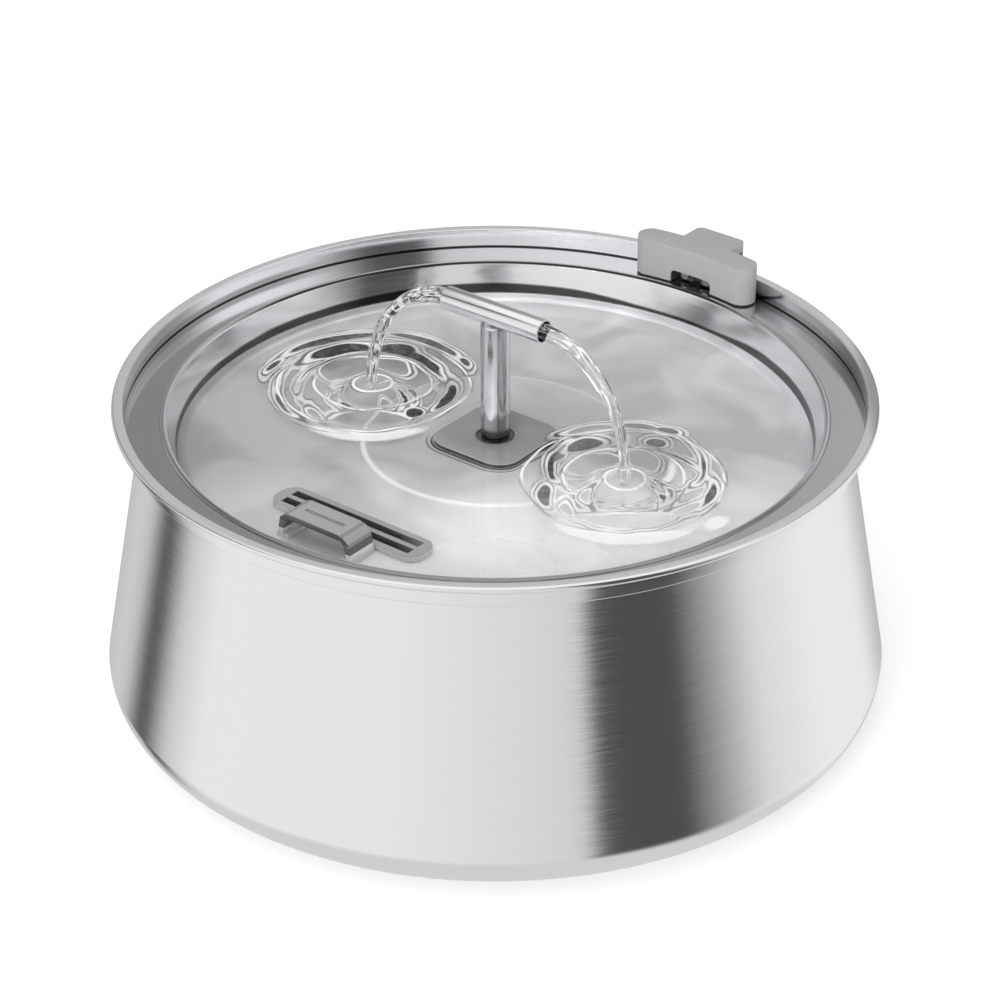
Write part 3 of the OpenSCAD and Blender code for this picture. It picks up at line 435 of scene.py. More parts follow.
def brush_normal(tree, way, fine, length, relief, sway):
    """Fine grooves from the brushing, which also throw the light a little to the side."""
    lines = brush_lines(tree, way, fine, length)
    settings = {"Strength": relief, "Distance": GROOVE_DEPTH, "Height": lines}
    bump = put(tree, "ShaderNodeBump", settings).outputs[0]
    if not sway:
        return bump, lines
    side = math_node(tree, "SUBTRACT", brush_lines(tree, way, fine * 0.7, length * 1.6, 37.0), 0.5)
    side = math_node(tree, "MULTIPLY", side, sway)
    aside = put(tree, "ShaderNodeVectorMath", {0: around(tree).along, "Scale": side}, operation="SCALE")
    leaned = put(tree, "ShaderNodeVectorMath", {0: bump, 1: aside.outputs[0]}, operation="ADD").outputs[0]
    return put(tree, "ShaderNodeVectorMath", {0: leaned}, operation="NORMALIZE").outputs[0], lines


def steel(name, base, roughness, way="wall", fine=1400.0, length=2.2, relief=0.05, spread=0.04, sway=0.0):
    """Brushed or polished stainless steel."""
    material, tree, shader = blank_material(name)
    shader.inputs["Base Color"].default_value = grey(base, -0.012)
    shader.inputs["Metallic"].default_value = 1.0
    normal, lines = brush_normal(tree, way, fine, length, relief, sway)
    rough = put(tree, "ShaderNodeMapRange", {"Value": lines, "From Min": 0.3, "From Max": 0.7,
        "To Min": roughness - spread, "To Max": roughness + spread})
    tree.links.new(rough.outputs[0], shader.inputs["Roughness"])
    tree.links.new(normal, shader.inputs["Normal"])
    return material


def zoned(tree, shader, socket, share, level):
    """Takes a shader's roughness or other single value to another level where share is 1."""
    links = shader.inputs[socket].links
    plain = links[0].from_socket if links else shader.inputs[socket].default_value
    tree.links.new(blend_levels(tree, share, plain, level), shader.inputs[socket])


def tone(tree, shader, level, warmth=-0.012):
    """Gives a finish a near-neutral grey that changes over it."""
    red = math_node(tree, "MULTIPLY", level, 1 + warmth)
    blue = math_node(tree, "MULTIPLY", level, 1 - warmth)
    colour = put(tree, "ShaderNodeCombineColor", {0: red, 1: level, 2: blue}).outputs[0]
    tree.links.new(colour, shader.inputs["Base Color"])


def finish_nodes(material):
    """A finish's tree, its shader and where a point of it lies."""
    tree = material.node_tree
    shader = next(n for n in tree.nodes if n.type == "BSDF_PRINCIPLED")
    return tree, shader, around(tree)


# How bright the bowl's steel is on its rim, with painted shade at the rim's right end and in bands inside the
# collar, darkest in a painted shadow line where the tray meets it.
RIM_SHINE, RIM_END_PAINTED_SHADE = 0.89, 0.55
COLLAR_UPPER_PAINTED_SHADE, COLLAR_LOWER_PAINTED_SHADE, SEAM_PAINTED_SHADOW = 0.58, 0.40, 0.10
RIM_ROUGHNESS = 0.55


def bowl_steel():
    """The bowl's brushed steel: duller on its rim, with painted shade at the rim's right end and inside the
    collar, and a painted shadow line where the tray meets it.
    """
    material = steel("Bowl_steel", STEEL_SHINE, 0.15, "wall", fine=2000.0, relief=0.10, sway=0.034)
    tree, shader, spot = finish_nodes(material)
    zoned(tree, shader, "Roughness", from_mm(tree, spot.z, -0.12, -0.04, RIM_TOP), RIM_ROUGHNESS)
    # Painted shade: the rim's right end, two bands inside the collar and a dark line at the seam with the
    # tray.
    rim_level_painted_end = ramp(tree, spot.right, 148 * MM, 155 * MM, RIM_SHINE, RIM_END_PAINTED_SHADE)
    level = blend_levels(tree, from_mm(tree, spot.z, -1.6, -0.8, RIM_TOP), STEEL_SHINE, rim_level_painted_end)
    inside = all_of(tree, until_mm(tree, spot.reach, -0.5, -0.3, COLLAR_RADIUS),
        from_mm(tree, spot.z, -0.6, -0.4, FLANGE_TOP), until_mm(tree, spot.front, 70, 105))
    upper = all_of(tree, inside, until_mm(tree, spot.z, -1.5, -0.9, RIM_TOP),
        from_mm(tree, spot.front, -95, -70))
    lower = all_of(tree, inside, until_mm(tree, spot.z, 2.3, 4.1, FLANGE_TOP),
        from_mm(tree, spot.front, -140, -115))
    seam = all_of(tree, inside, between_mm(tree, spot.z, (-0.3, -0.1, 0.6, 0.8), FLANGE_TOP))
    for share, shade in ((upper, COLLAR_UPPER_PAINTED_SHADE), (lower, COLLAR_LOWER_PAINTED_SHADE), (seam, SEAM_PAINTED_SHADOW)):
        level = blend_levels(tree, share, level, shade)
    tone(tree, shader, level)
    return material


# How high the ring of painted shade stands over the water: turn from the front to the right, height in mm.
DARK_RING_TOP = ((-180, 3.9), (-150, 3.4), (-125, 2.8), (-90, 2.2), (-60, 1.2), (60, 1.2), (95, 3.0), (120, 3.2),
    (135, 1.2), (152, 1.2), (164, 3.2), (180, 3.9))
DARK_RING_WAVER = 1.6 * MM
WET_STEEL = 0.79
WET_ROUGHNESS = 0.45
# Painted shade on the bead at the front, and a painted shadow line by it at the back.
NEAR_BEAD_PAINTED_SHADE, FAR_BEAD_PAINTED_SHADOW = 0.30, 0.04
# Two lines of painted shadow round the pad: edges in mm from it, and shade.
PAD_PAINTED_SHADOW_LINES = (((0.3, 0.6, 1.3, 1.7), 0.10), ((2.5, 2.8, 3.2, 3.6), 0.30))


def tray_steel():
    """The tray's steel: polished flange and bead, a ring of painted shade over the water's edge, painted
    shade by the bead and round the pad, and a half-matt floor under the water with random mottle, painted
    shade towards the left and painted pale light at the front.
    """
    material = steel("Tray_steel", STEEL_SHINE, 0.13, "disc", fine=1200.0, relief=0.04, sway=0.03)
    tree, shader, spot = finish_nodes(material)
    wet = until_mm(tree, spot.z, -0.4, 0.4, WATER_LEVEL)
    zoned(tree, shader, "Roughness", wet, WET_ROUGHNESS)
    settings = {"Vector": spot.place, "Scale": 22.0, "Detail": 2.0, "Distortion": 0.6}
    cloud = put(tree, "ShaderNodeTexNoise", settings).outputs[0]
    # Under the water: random mottle with painted shade towards the viewer's left; pale is painted light in
    # patches at the front, with a painted highlight along the edge of the raised field.
    mottle_and_left_shade = all_of(tree, ramp(tree, cloud, 0.36, 0.62, 0.78, 1.0),
        ramp(tree, spot.right, -110 * MM, 10 * MM, 0.84, 1.0))
    pale = all_of(tree, from_mm(tree, spot.front, 15, 75), ramp(tree, cloud, 0.36, 0.56, 0.7, 1.0))
    field_edge_highlight = between_mm(tree, spot.reach, (-0.4, 0.2, 1.6, 2.4), FIELD_RADIUS)
    pale = math_node(tree, "MAXIMUM", pale, math_node(tree, "MULTIPLY", field_edge_highlight, 0.75))
    zoned(tree, shader, "Metallic", wet, blend_levels(tree, pale, WET_STEEL, 0.0))
    level = blend_levels(tree, wet, STEEL_SHINE, mottle_and_left_shade)
    near_bead = all_of(tree, between_mm(tree, spot.reach, (1.5, 2.2, 3.3, 3.6), DISH_RADIUS),
        from_mm(tree, spot.front, 40, 90))
    far_bead = all_of(tree, between_mm(tree, spot.z, (-0.3, -0.1, 0.5, 0.7), FLANGE_TOP),
        until_mm(tree, spot.reach, 1.2, 1.6, DISH_RADIUS), until_mm(tree, spot.front, -100, -60))
    # Painted shade: the ring over the water's edge, the bead at the front and back, and two lines round the
    # pad.
    shades = [painted_shade_ring(tree, spot, wet, cloud), (near_bead, NEAR_BEAD_PAINTED_SHADE), (far_bead, FAR_BEAD_PAINTED_SHADOW)]
    beside, near_pad = pad_distance(tree, spot), from_mm(tree, spot.front, -10, 6)
    for edges, shade in PAD_PAINTED_SHADOW_LINES:
        shades.append((all_of(tree, between_mm(tree, beside, edges), near_pad), shade))
    for share, shade in shades:
        level = blend_levels(tree, share, level, shade)
    tone(tree, shader, blend_levels(tree, all_of(tree, pale, wet), level, 1.0))
    return material


def painted_shade_ring(tree, spot, wet, cloud):
    """The ring of painted shade over the water's edge, as a share and a shade."""
    turn = math_node(tree, "DEGREES", math_node(tree, "ARCTAN2", spot.right, spot.front))
    top = stops_node(tree, turn, [(t, h * MM) for t, h in DARK_RING_TOP], -180, 180)
    top = math_node(tree, "ADD", top, math_node(tree, "MULTIPLY", cloud, DARK_RING_WAVER))
    over = math_node(tree, "SUBTRACT", math_node(tree, "SUBTRACT", spot.z, WATER_LEVEL), top)
    ring = all_of(tree, until_mm(tree, over, -0.9, 0.3), math_node(tree, "SUBTRACT", 1.0, wet))
    return ring, ramp(tree, spot.front, -115 * MM, -60 * MM, 0.08, 0.15)


def pad_distance(tree, spot):
    """How far a point of the tray lies outside the soft square pad."""
    gaps = []
    for value in (spot.x, spot.y):
        gap = math_node(tree, "SUBTRACT", math_node(tree, "ABSOLUTE", value), PAD_HIGH.x - PAD_CORNER)
        gaps.append(math_node(tree, "MAXIMUM", gap, 0.0))
    return math_node(tree, "SUBTRACT", flat_length(tree, *gaps), PAD_CORNER)


def crossbar_steel():
    """The crossbar's polished steel, with painted shade inside the tube."""
    material = steel("Crossbar_steel", STEEL_SHINE, 0.10, "wall", relief=0.03)
    tree, shader, spot = finish_nodes(material)
    off = flat_length(tree, spot.y, math_node(tree, "SUBTRACT", spot.z, BAR_AXIS))
    # Painted shade inside the tube's bore.
    bore = until_mm(tree, off, -0.7, -0.55, BAR_RADIUS)
    tone(tree, shader, blend_levels(tree, bore, STEEL_SHINE, 0.05))
    return material


# Painted reflections across the riser, from its left edge to its right: how bright its steel is painted.
RISER_PAINTED_REFLECTIONS = ((-1.0, 0.5), (-0.78, 0.55), (-0.70, 0.9), (0.0, 0.68), (0.10, 0.66), (0.18, 0.34),
    (0.46, 0.5), (0.58, 0.38), (0.76, 0.6), (0.84, 1.0), (0.92, 0.9), (1.0, 0.3))
# Painted shade at the riser's foot, where it stands in the pad.
RISER_FOOT_PAINTED_SHADE = 0.16


def riser_steel():
    """The riser's polished steel with painted reflections: darker at its left edge and in a stripe, and
    painted shade at its foot.
    """
    material = steel("Riser_steel", STEEL_SHINE, 0.12, "wall", relief=0.03)
    tree, shader, spot = finish_nodes(material)
    across = math_node(tree, "DIVIDE", spot.right, RISER_RADIUS)
    level = stops_node(tree, across, RISER_PAINTED_REFLECTIONS, -1.0, 1.0)
    foot = until_mm(tree, spot.z, 3.5, 6.0, PAD_HIGH.z)
    tone(tree, shader, blend_levels(tree, foot, level, RISER_FOOT_PAINTED_SHADE))
    return material


def moulded(name, base, roughness, warmth=-0.008, grain=900.0, relief=0.08, mottle=0.03, specular=0.5,
        zones=None):
    """Moulded plastic, silicone or rubber with a fine grain; zones gives shares and their own levels."""
    material, tree, shader = blank_material(name)
    place = put(tree, "ShaderNodeTexCoord").outputs["Object"]
    cloud = put(tree, "ShaderNodeTexNoise", {"Vector": place, "Scale": 60.0, "Detail": 2.0}).outputs[0]
    level = blend_levels(tree, cloud, base * (1 - mottle), base * (1 + mottle))
    for share, own in (zones(tree) if zones else ()):
        level = blend_levels(tree, share, level, own)
    tone(tree, shader, level, warmth)
    shader.inputs["Roughness"].default_value = roughness
    shader.inputs["Specular IOR Level"].default_value = specular
    fine = put(tree, "ShaderNodeTexNoise", {"Vector": place, "Scale": grain, "Detail": 2.0}).outputs[0]
    bump = put(tree, "ShaderNodeBump", {"Strength": relief, "Distance": GRAIN_DEPTH, "Height": fine})
    tree.links.new(bump.outputs[0], shader.inputs["Normal"])
    return material


def facing_up(tree):
    """One on level tops, nothing on upright sides, less than nothing on undersides."""
    normal = put(tree, "ShaderNodeTexCoord").outputs["Normal"]
    return put(tree, "ShaderNodeSeparateXYZ", {0: normal}).outputs[2]


def clip_zones(tree):
    """Painted shade inside the notch."""
    spot = around(tree)
    beside = math_node(tree, "ABSOLUTE", spot.x)
    notch = all_of(tree, from_mm(tree, spot.reach, 139.3, 139.9), until_mm(tree, spot.reach, 151.0, 152.0),
        until_mm(tree, beside, 10.9, 11.4), until_mm(tree, spot.z, 135.9, 136.4))
    return [(notch, 0.05)]


def grille_zones(tree):
    """Painted light on the outer sides, a painted shade outline round the top, and painted shade in the
    slots.
    """
    low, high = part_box("drain_grille")
    mid = (low + high) / 2
    spot, up = around(tree), facing_up(tree)
    side = ramp(tree, up, 0.2, 0.5, 1.0, 0.0)
    slots = side
    for value, axis, start, end in ((spot.x, 0, -3, -2.4), (spot.y, 1, -1.6, -1.2)):
        off = math_node(tree, "ABSOLUTE", math_node(tree, "SUBTRACT", value, mid[axis]))
        slots = all_of(tree, slots, until_mm(tree, off, start, end, high[axis] - mid[axis]))
    return [(side, 0.62), (hump(tree, up, (0.35, 0.5, 0.88, 0.96)), 0.14), (slots, 0.10)]


def handle_zones(tree):
    """Painted shade on the legs over painted highlights on the feet, and painted shade on the sides and in
    the recess in the top.
    """
    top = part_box("tray_handle")[1].z
    spot, up = around(tree), facing_up(tree)
    legs = between_mm(tree, spot.z, (1.7, 2.0, 4.9, 5.3), WATER_LEVEL)
    feet = until_mm(tree, spot.z, 1.7, 2.0, WATER_LEVEL)
    sides = all_of(tree, ramp(tree, up, 0.1, 0.3, 1.0, 0.0), from_mm(tree, spot.z, 5.0, 5.6, WATER_LEVEL))
    recess = all_of(tree, ramp(tree, up, 0.8, 0.95),
        between_mm(tree, spot.z, (-1.2, -1.0, -0.25, -0.12), top))
    return [(legs, 0.15), (feet, 0.8), (sides, 0.10), (recess, 0.25)]


def pad_zones(tree):
    """A painted highlight on the edge over painted shade on the side."""
    up = facing_up(tree)
    return [(hump(tree, up, (0.5, 0.6, 0.85, 0.95)), 0.6), (ramp(tree, up, 0.3, 0.5, 1.0, 0.0), 0.04)]


def tinted(name, colour, roughness, scale, relief, metallic=0.0, depth=0.1, contrast=0.25):
    """A coloured material with cells or fibres, for foam, felt, windings and boards."""
    material, tree, shader = blank_material(name)
    place = put(tree, "ShaderNodeTexCoord").outputs["Object"]
    cells = put(tree, "ShaderNodeTexVoronoi", {"Vector": place, "Scale": scale}).outputs["Distance"]
    dark = tuple(c * (1 - contrast) for c in colour) + (1,)
    mix = put(tree, "ShaderNodeMixRGB", {"Fac": cells, "Color1": dark, "Color2": tuple(colour) + (1,)})
    tree.links.new(mix.outputs[0], shader.inputs["Base Color"])
    shader.inputs["Roughness"].default_value = roughness
    shader.inputs["Metallic"].default_value = metallic
    bump = put(tree, "ShaderNodeBump", {"Strength": relief, "Distance": depth * MM, "Height": cells})
    tree.links.new(bump.outputs[0], shader.inputs["Normal"])
    return material


def clear_water(name, dark, bright):
    """Clear water that lets light through; dark and bright paint shade and highlights into its surface,
    standing in for its reflections.
    """
    material, tree, shader = blank_material(name)
    shader.inputs["Roughness"].default_value = 0.0
    shader.inputs["IOR"].default_value = 1.333
    shade = math_node(tree, "POWER", math_node(tree, "SUBTRACT", 1.0, dark(tree)), 2.0)
    level = put(tree, "ShaderNodeCombineColor", {0: shade, 1: shade, 2: shade}).outputs[0]
    tree.links.new(level, shader.inputs["Base Color"])
    tree.links.new(math_node(tree, "SUBTRACT", 1.0, bright(tree)), shader.inputs["Transmission Weight"])
    path = put(tree, "ShaderNodeLightPath")
    clear = put(tree, "ShaderNodeBsdfTransparent")
    both = put(tree, "ShaderNodeMixShader", {0: path.outputs["Is Shadow Ray"], 1: shader.outputs[0],
        2: clear.outputs[0]})
    output = next(n for n in tree.nodes if n.type == "OUTPUT_MATERIAL")
    tree.links.new(both.outputs[0], output.inputs["Surface"])
    return material


def ring_marks(tree, side, phase, width, warp, patch_scale, patch_from, patch_to, seed):
    """Thin painted reflection marks along the rings of one stream: at a phase of each wave, uneven, in
    patches.
    """
    place = put(tree, "ShaderNodeTexCoord").outputs["Object"]
    centre = (side * STRIKE + RINGS_BACK[0], RINGS_BACK[1], 0)
    moved = put(tree, "ShaderNodeVectorMath", {0: place, 1: centre}, operation="SUBTRACT").outputs[0]
    offset = put(tree, "ShaderNodeSeparateXYZ", {0: moved}).outputs
    away = flat_length(tree, offset[0], offset[1])
    stir = put(tree, "ShaderNodeTexNoise", {"Vector": place, "Scale": 40.0, "Detail": 0.0}).outputs[0]
    uneven = math_node(tree, "MULTIPLY", math_node(tree, "SUBTRACT", stir, 0.5), warp * MM)
    waves = math_node(tree, "DIVIDE", math_node(tree, "ADD", away, uneven), RING_WAVE)
    wave = math_node(tree, "FRACT", math_node(tree, "ADD", waves, 1.5 - phase))
    off = math_node(tree, "ABSOLUTE", math_node(tree, "SUBTRACT", wave, 0.5))
    mark = ramp(tree, off, width * 0.5, width, 1.0, 0.0)
    shifted = put(tree, "ShaderNodeMapping", {"Vector": place, "Location": (seed, seed * 0.7, 0)}).outputs[0]
    settings = {"Vector": shifted, "Scale": patch_scale, "Detail": 1.0}
    patch = ramp(tree, put(tree, "ShaderNodeTexNoise", settings).outputs[0], patch_from, patch_to)
    return all_of(tree, mark, patch, until_mm(tree, away, 0, 2.5, RING_REACH))


def both_rings(tree, strength, *settings):
    """The same painted reflection marks in the rings of both streams."""
    marks = math_node(tree, "MAXIMUM", ring_marks(tree, -1, *settings), ring_marks(tree, 1, *settings))
    return math_node(tree, "MULTIPLY", marks, strength)


def strongest(tree, values):
    """The largest of several brightness sockets."""
    result = values[0]
    for value in values[1:]:
        result = math_node(tree, "MAXIMUM", result, value)
    return result


def own_value(tree, name):
    """A value that the pool's mesh carries at each of its points."""
    return put(tree, "ShaderNodeAttribute", attribute_name=name).outputs["Fac"]


def outline_marks(tree, outlines):
    """Lines round the nearest form: (how far outside it, half width, both in mm, strength)."""
    gap = own_value(tree, "Gap")
    marks = []
    for place, width, strength in outlines:
        off = math_node(tree, "ABSOLUTE", math_node(tree, "SUBTRACT", gap, place))
        marks.append(ramp(tree, off, width * 0.4, width, strength, 0.0))
    return strongest(tree, marks)


def pool_noise(tree, scale, detail, start, end, low, high):
    """Patches over the pool, from low to high."""
    place = put(tree, "ShaderNodeTexCoord").outputs["Object"]
    grain = put(tree, "ShaderNodeTexNoise", {"Vector": place, "Scale": scale, "Detail": detail}).outputs[0]
    return ramp(tree, grain, start, end, low, high)


# Painted shade and highlight lines round the forms in the rings: mm outside a form, half width in mm,
# strength.
DARK_OUTLINES = ((1.3, 0.32, 0.5), (2.9, 0.35, 0.4))
BRIGHT_OUTLINES = ((0.55, 0.6, 0.66), (2.2, 0.8, 0.42))


def pool_dark(tree):
    """Painted shade: dark forms on the steep sides of the rings, and thin dark lines round them."""
    inside = all_of(tree, own_value(tree, "Shade"), pool_noise(tree, 260.0, 2.0, 0.35, 0.6, 0.82, 1.0),
        ramp(tree, own_value(tree, "Gap"), -0.25, 0.1, 1.0, 0.0))
    lines = all_of(tree, outline_marks(tree, DARK_OUTLINES),
        pool_noise(tree, 50.0, 0.0, 0.38, 0.52, 0.25, 1.0))
    return strongest(tree, [inside, lines, both_rings(tree, 0.4, 0.57, 0.03, 5, 60, 0.42, 0.55, 0.3)])


def pool_bright(tree):
    """Painted highlights: bright crests, glints, the glow in front of the rings and the pale water near the
    front.
    """
    spot = around(tree)
    lines = all_of(tree, outline_marks(tree, BRIGHT_OUTLINES),
        pool_noise(tree, 40.0, 0.0, 0.35, 0.55, 0.35, 1.0))
    near = all_of(tree, from_mm(tree, spot.front, 50, 95), pool_noise(tree, 26.0, 1.0, 0.36, 0.6, 0.1, 0.36),
        from_mm(tree, spot.right, -40, -20))
    crests = both_rings(tree, 0.85, 0.5, 0.05, 5, 30, 0.30, 0.50, 4.1)
    return strongest(tree, [own_value(tree, "Glint"), lines, near, crests])


def flow_lines(tree, seed, twist, centre, width):
    """Wavy painted reflection lines along a stream, from its own attribute: the way round it and the way
    down.
    """
    flow = put(tree, "ShaderNodeAttribute", attribute_name="Flow").outputs["Vector"]
    shifted = put(tree, "ShaderNodeMapping", {"Vector": flow, "Location": (0, 0, seed),
        "Scale": (1.1, 1.1, twist)}).outputs[0]
    noise_value = put(tree, "ShaderNodeTexNoise", {"Vector": shifted, "Scale": 1.0, "Detail": 1.5,
        "Distortion": 0.4}).outputs[0]
    bands = math_node(tree, "FRACT", math_node(tree, "MULTIPLY", noise_value, 7.0))
    off = math_node(tree, "ABSOLUTE", math_node(tree, "SUBTRACT", bands, centre))
    return ramp(tree, off, width * 0.5, width, 1.0, 0.0)


def wavy_dark(tree):
    """Painted dark reflection lines in the wavier stream."""
    return math_node(tree, "MULTIPLY", flow_lines(tree, 0.0, 0.9, 0.3, 0.10), 0.7)


def wavy_bright(tree):
    """Painted bright reflection lines in the wavier stream."""
    return math_node(tree, "MULTIPLY", flow_lines(tree, 0.0, 0.9, 0.6, 0.12), 0.4)


def smooth_dark(tree):
    """Painted dark reflection lines in the smoother stream."""
    return math_node(tree, "MULTIPLY", flow_lines(tree, 3.0, 0.5, 0.3, 0.05), 0.3)


def smooth_bright(tree):
    """Painted bright reflection lines in the smoother stream."""
    return math_node(tree, "MULTIPLY", flow_lines(tree, 3.0, 0.5, 0.6, 0.08), 0.5)


# ---------------------------------------------------------------- bowl
SHEET = 0.8 * MM
FOOT_DROP = 1.2 * MM
CREASE_RADIUS = BOWL_HIGH.x
CREASE_HEIGHT = 19.4 * MM
NECK_RADIUS = 145.7 * MM
NECK_HEIGHT = 127.6 * MM
COLLAR_RADIUS = 153.1 * MM
RIM_REACH = 157.1 * MM
RIM_THICK = 2.9 * MM


def make_bowl(material):
    """The spun bowl: domed base edge, tapered wall, ledge, collar and rolled rim."""
    base_arc = CREASE_HEIGHT - FOOT_DROP
    hub = (CREASE_RADIUS - base_arc, CREASE_HEIGHT)
    roll = RIM_THICK / 2
    ledge = NECK_HEIGHT + SHEET
    soft = 0.55 * MM
    outer = [(1e-5, FOOT_DROP)] + arc(hub, base_arc, -90, -1, 30)
    outer += [(CREASE_RADIUS, CREASE_HEIGHT), (NECK_RADIUS, NECK_HEIGHT)]
    outer += arc((COLLAR_RADIUS - soft, NECK_HEIGHT + soft), soft, -90, 0, 6)
    outer += [(COLLAR_RADIUS, RIM_TOP - RIM_THICK)]
    outer += arc((RIM_REACH - roll, RIM_TOP - roll), roll, -90, 90, 24)
    inner_lip = 0.5 * MM
    inside = COLLAR_RADIUS - SHEET
    outer += arc((inside + inner_lip, RIM_TOP - inner_lip), inner_lip, 90, 180, 8)
    outer += [(inside, ledge), (NECK_RADIUS - SHEET, ledge)]
    outer += [(CREASE_RADIUS - SHEET, CREASE_HEIGHT)] + arc(hub, base_arc - SHEET, 0, -90, 30)[1:]
    outer += [(1e-5, FOOT_DROP + SHEET)]
    creases = [(CREASE_RADIUS, CREASE_HEIGHT), (NECK_RADIUS, NECK_HEIGHT),
        (COLLAR_RADIUS, RIM_TOP - RIM_THICK), (inside, ledge), (NECK_RADIUS - SHEET, ledge),
        (CREASE_RADIUS - SHEET, CREASE_HEIGHT)]
    dress("Bowl_shell", "bowl", ["bowl"], lathe(outer, creases), material)


# ---------------------------------------------------------------- tray
FLANGE_TOP = 129.3 * MM
FLANGE_RADIUS = TRAY_HIGH.x
DISH_RADIUS = 134.8 * MM
DISH_SLOPE = math.radians(16)
DISH_FILLET = 4.6 * MM
BEAD = 1.7 * MM
DISH_FLOOR = FLANGE_TOP - 17.9 * MM
FIELD_RADIUS = 54 * MM
FIELD_RISE = 1 * MM
FIELD_RAMP = 2.4 * MM


def tray_outline():
    """(radius, height) outline of the pressed tray, its upper side first, and its creases."""
    bead_mid = (DISH_RADIUS + BEAD, TRAY_HIGH.z - BEAD)
    fillet_z = DISH_FLOOR + DISH_FILLET
    run = bead_mid[1] - fillet_z + DISH_FILLET * math.sin(DISH_SLOPE)
    fillet_r = DISH_RADIUS - DISH_FILLET * math.cos(DISH_SLOPE) - run * math.tan(DISH_SLOPE)
    slope = math.degrees(DISH_SLOPE)
    soft = 0.5 * MM
    top = [(1e-5, DISH_FLOOR + FIELD_RISE), (FIELD_RADIUS - soft, DISH_FLOOR + FIELD_RISE)]
    for step in range(1, 12):
        share = step / 12
        ease = share * share * (3 - 2 * share)
        top.append((FIELD_RADIUS + FIELD_RAMP * share, DISH_FLOOR + FIELD_RISE * (1 - ease)))
    top += [(FIELD_RADIUS + FIELD_RAMP + soft, DISH_FLOOR)]
    top += arc((fillet_r, fillet_z), DISH_FILLET, -90, -slope, 18)
    top += arc(bead_mid, BEAD, 180 - slope, 20, 22)
    flange_start = bead_mid[0] + math.sqrt(BEAD ** 2 - (FLANGE_TOP - bead_mid[1]) ** 2)
    top = [p for p in top if not (p[0] > bead_mid[0] and p[1] < FLANGE_TOP)]
    top += [(flange_start, FLANGE_TOP), (FLANGE_RADIUS, FLANGE_TOP)]
    under = [(FLANGE_RADIUS, FLANGE_TOP - SHEET), (bead_mid[0] + BEAD - SHEET / 2, FLANGE_TOP - SHEET)]
    under += arc((fillet_r, fillet_z), DISH_FILLET + SHEET, -slope, -90, 18)
    under += [(1e-5, DISH_FLOOR - SHEET)]
    creases = [(flange_start, FLANGE_TOP), (FLANGE_RADIUS, FLANGE_TOP), under[0], under[1], under[2]]
    return top + under, creases


def cutter(shape_maker):
    """A hidden object that a boolean cuts with."""
    shape = bmesh.new()
    shape_maker(shape)
    return finish_mesh("Cutter", shape, bpy.data.materials["Floor"])


def round_cutter(x, y, z, radius, depth):
    """A cutter for a round hole."""
    def build(shape):
        bmesh.ops.create_cone(shape, cap_ends=True, segments=64, radius1=radius, radius2=radius,
            depth=depth, matrix=Matrix.Translation((x, y, z)))
    return cutter(build)


def box_cutter(low, high):
    """A cutter for a square-cornered hole."""
    def build(shape):
        bmesh.ops.create_cube(shape, size=1.0)
        bmesh.ops.scale(shape, vec=high - low, verts=shape.verts)
        bmesh.ops.translate(shape, vec=(low + high) / 2, verts=shape.verts)
    return cutter(build)


def cut(piece, tools):
    """Cuts the tools' shapes out of a piece and removes the tools."""
    for tool in tools:
        change = piece.modifiers.new("Cut", "BOOLEAN")
        change.operation, change.object, change.solver = "DIFFERENCE", tool, "EXACT"
    bpy.context.view_layer.update()
    result = bpy.data.meshes.new_from_object(piece.evaluated_get(bpy.context.evaluated_depsgraph_get()))
    piece.modifiers.clear()
    piece.data = result
    for tool in tools:
        bpy.data.objects.remove(tool)


GRILLE_HOLE_HALF = Vector((33.9 * MM, 6.1 * MM, 3 * MM))
SPOUT_HOLE = 10.5 * MM
CORD_HOLE = 2.5 * MM
HOLE_DEPTH = 6 * MM


def make_tray(material):
    """The pressed tray with its holes for the grille, the spout and the cord."""
    outline, creases = tray_outline()
    tray = finish_mesh("Tray_pressing", lathe(outline, creases), material)
    grille_low, grille_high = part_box("drain_grille")
    mid = (grille_low + grille_high) / 2
    centre = Vector((mid.x, mid.y, DISH_FLOOR))
    cord_low, cord_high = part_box("flange_grommet")
    cord = (cord_low + cord_high) / 2
    tools = [box_cutter(centre - GRILLE_HOLE_HALF, centre + GRILLE_HOLE_HALF),
        round_cutter(0, 0, DISH_FLOOR, SPOUT_HOLE, HOLE_DEPTH),
        round_cutter(cord.x, cord.y, FLANGE_TOP, CORD_HOLE, HOLE_DEPTH)]
    cut(tray, tools)
    tray.data.set_sharp_from_angle(angle=math.radians(24))
    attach(tray, "tray")
    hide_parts("tray")


# ---------------------------------------------------------------- spout
TUBE_WALL = 0.8 * MM
LIP = 0.25 * MM


def tube_outline(radius, bore, low, high):
    """(radius, height) outline of a tube with rounded lips at both ends."""
    points = arc((radius - LIP, low + LIP), LIP, -90, 0, 6) + arc((radius - LIP, high - LIP), LIP, 0, 90, 6)
    points += arc((bore + LIP, high - LIP), LIP, 90, 180, 6) + arc((bore + LIP, low + LIP), LIP, 180, 270, 6)
    return points


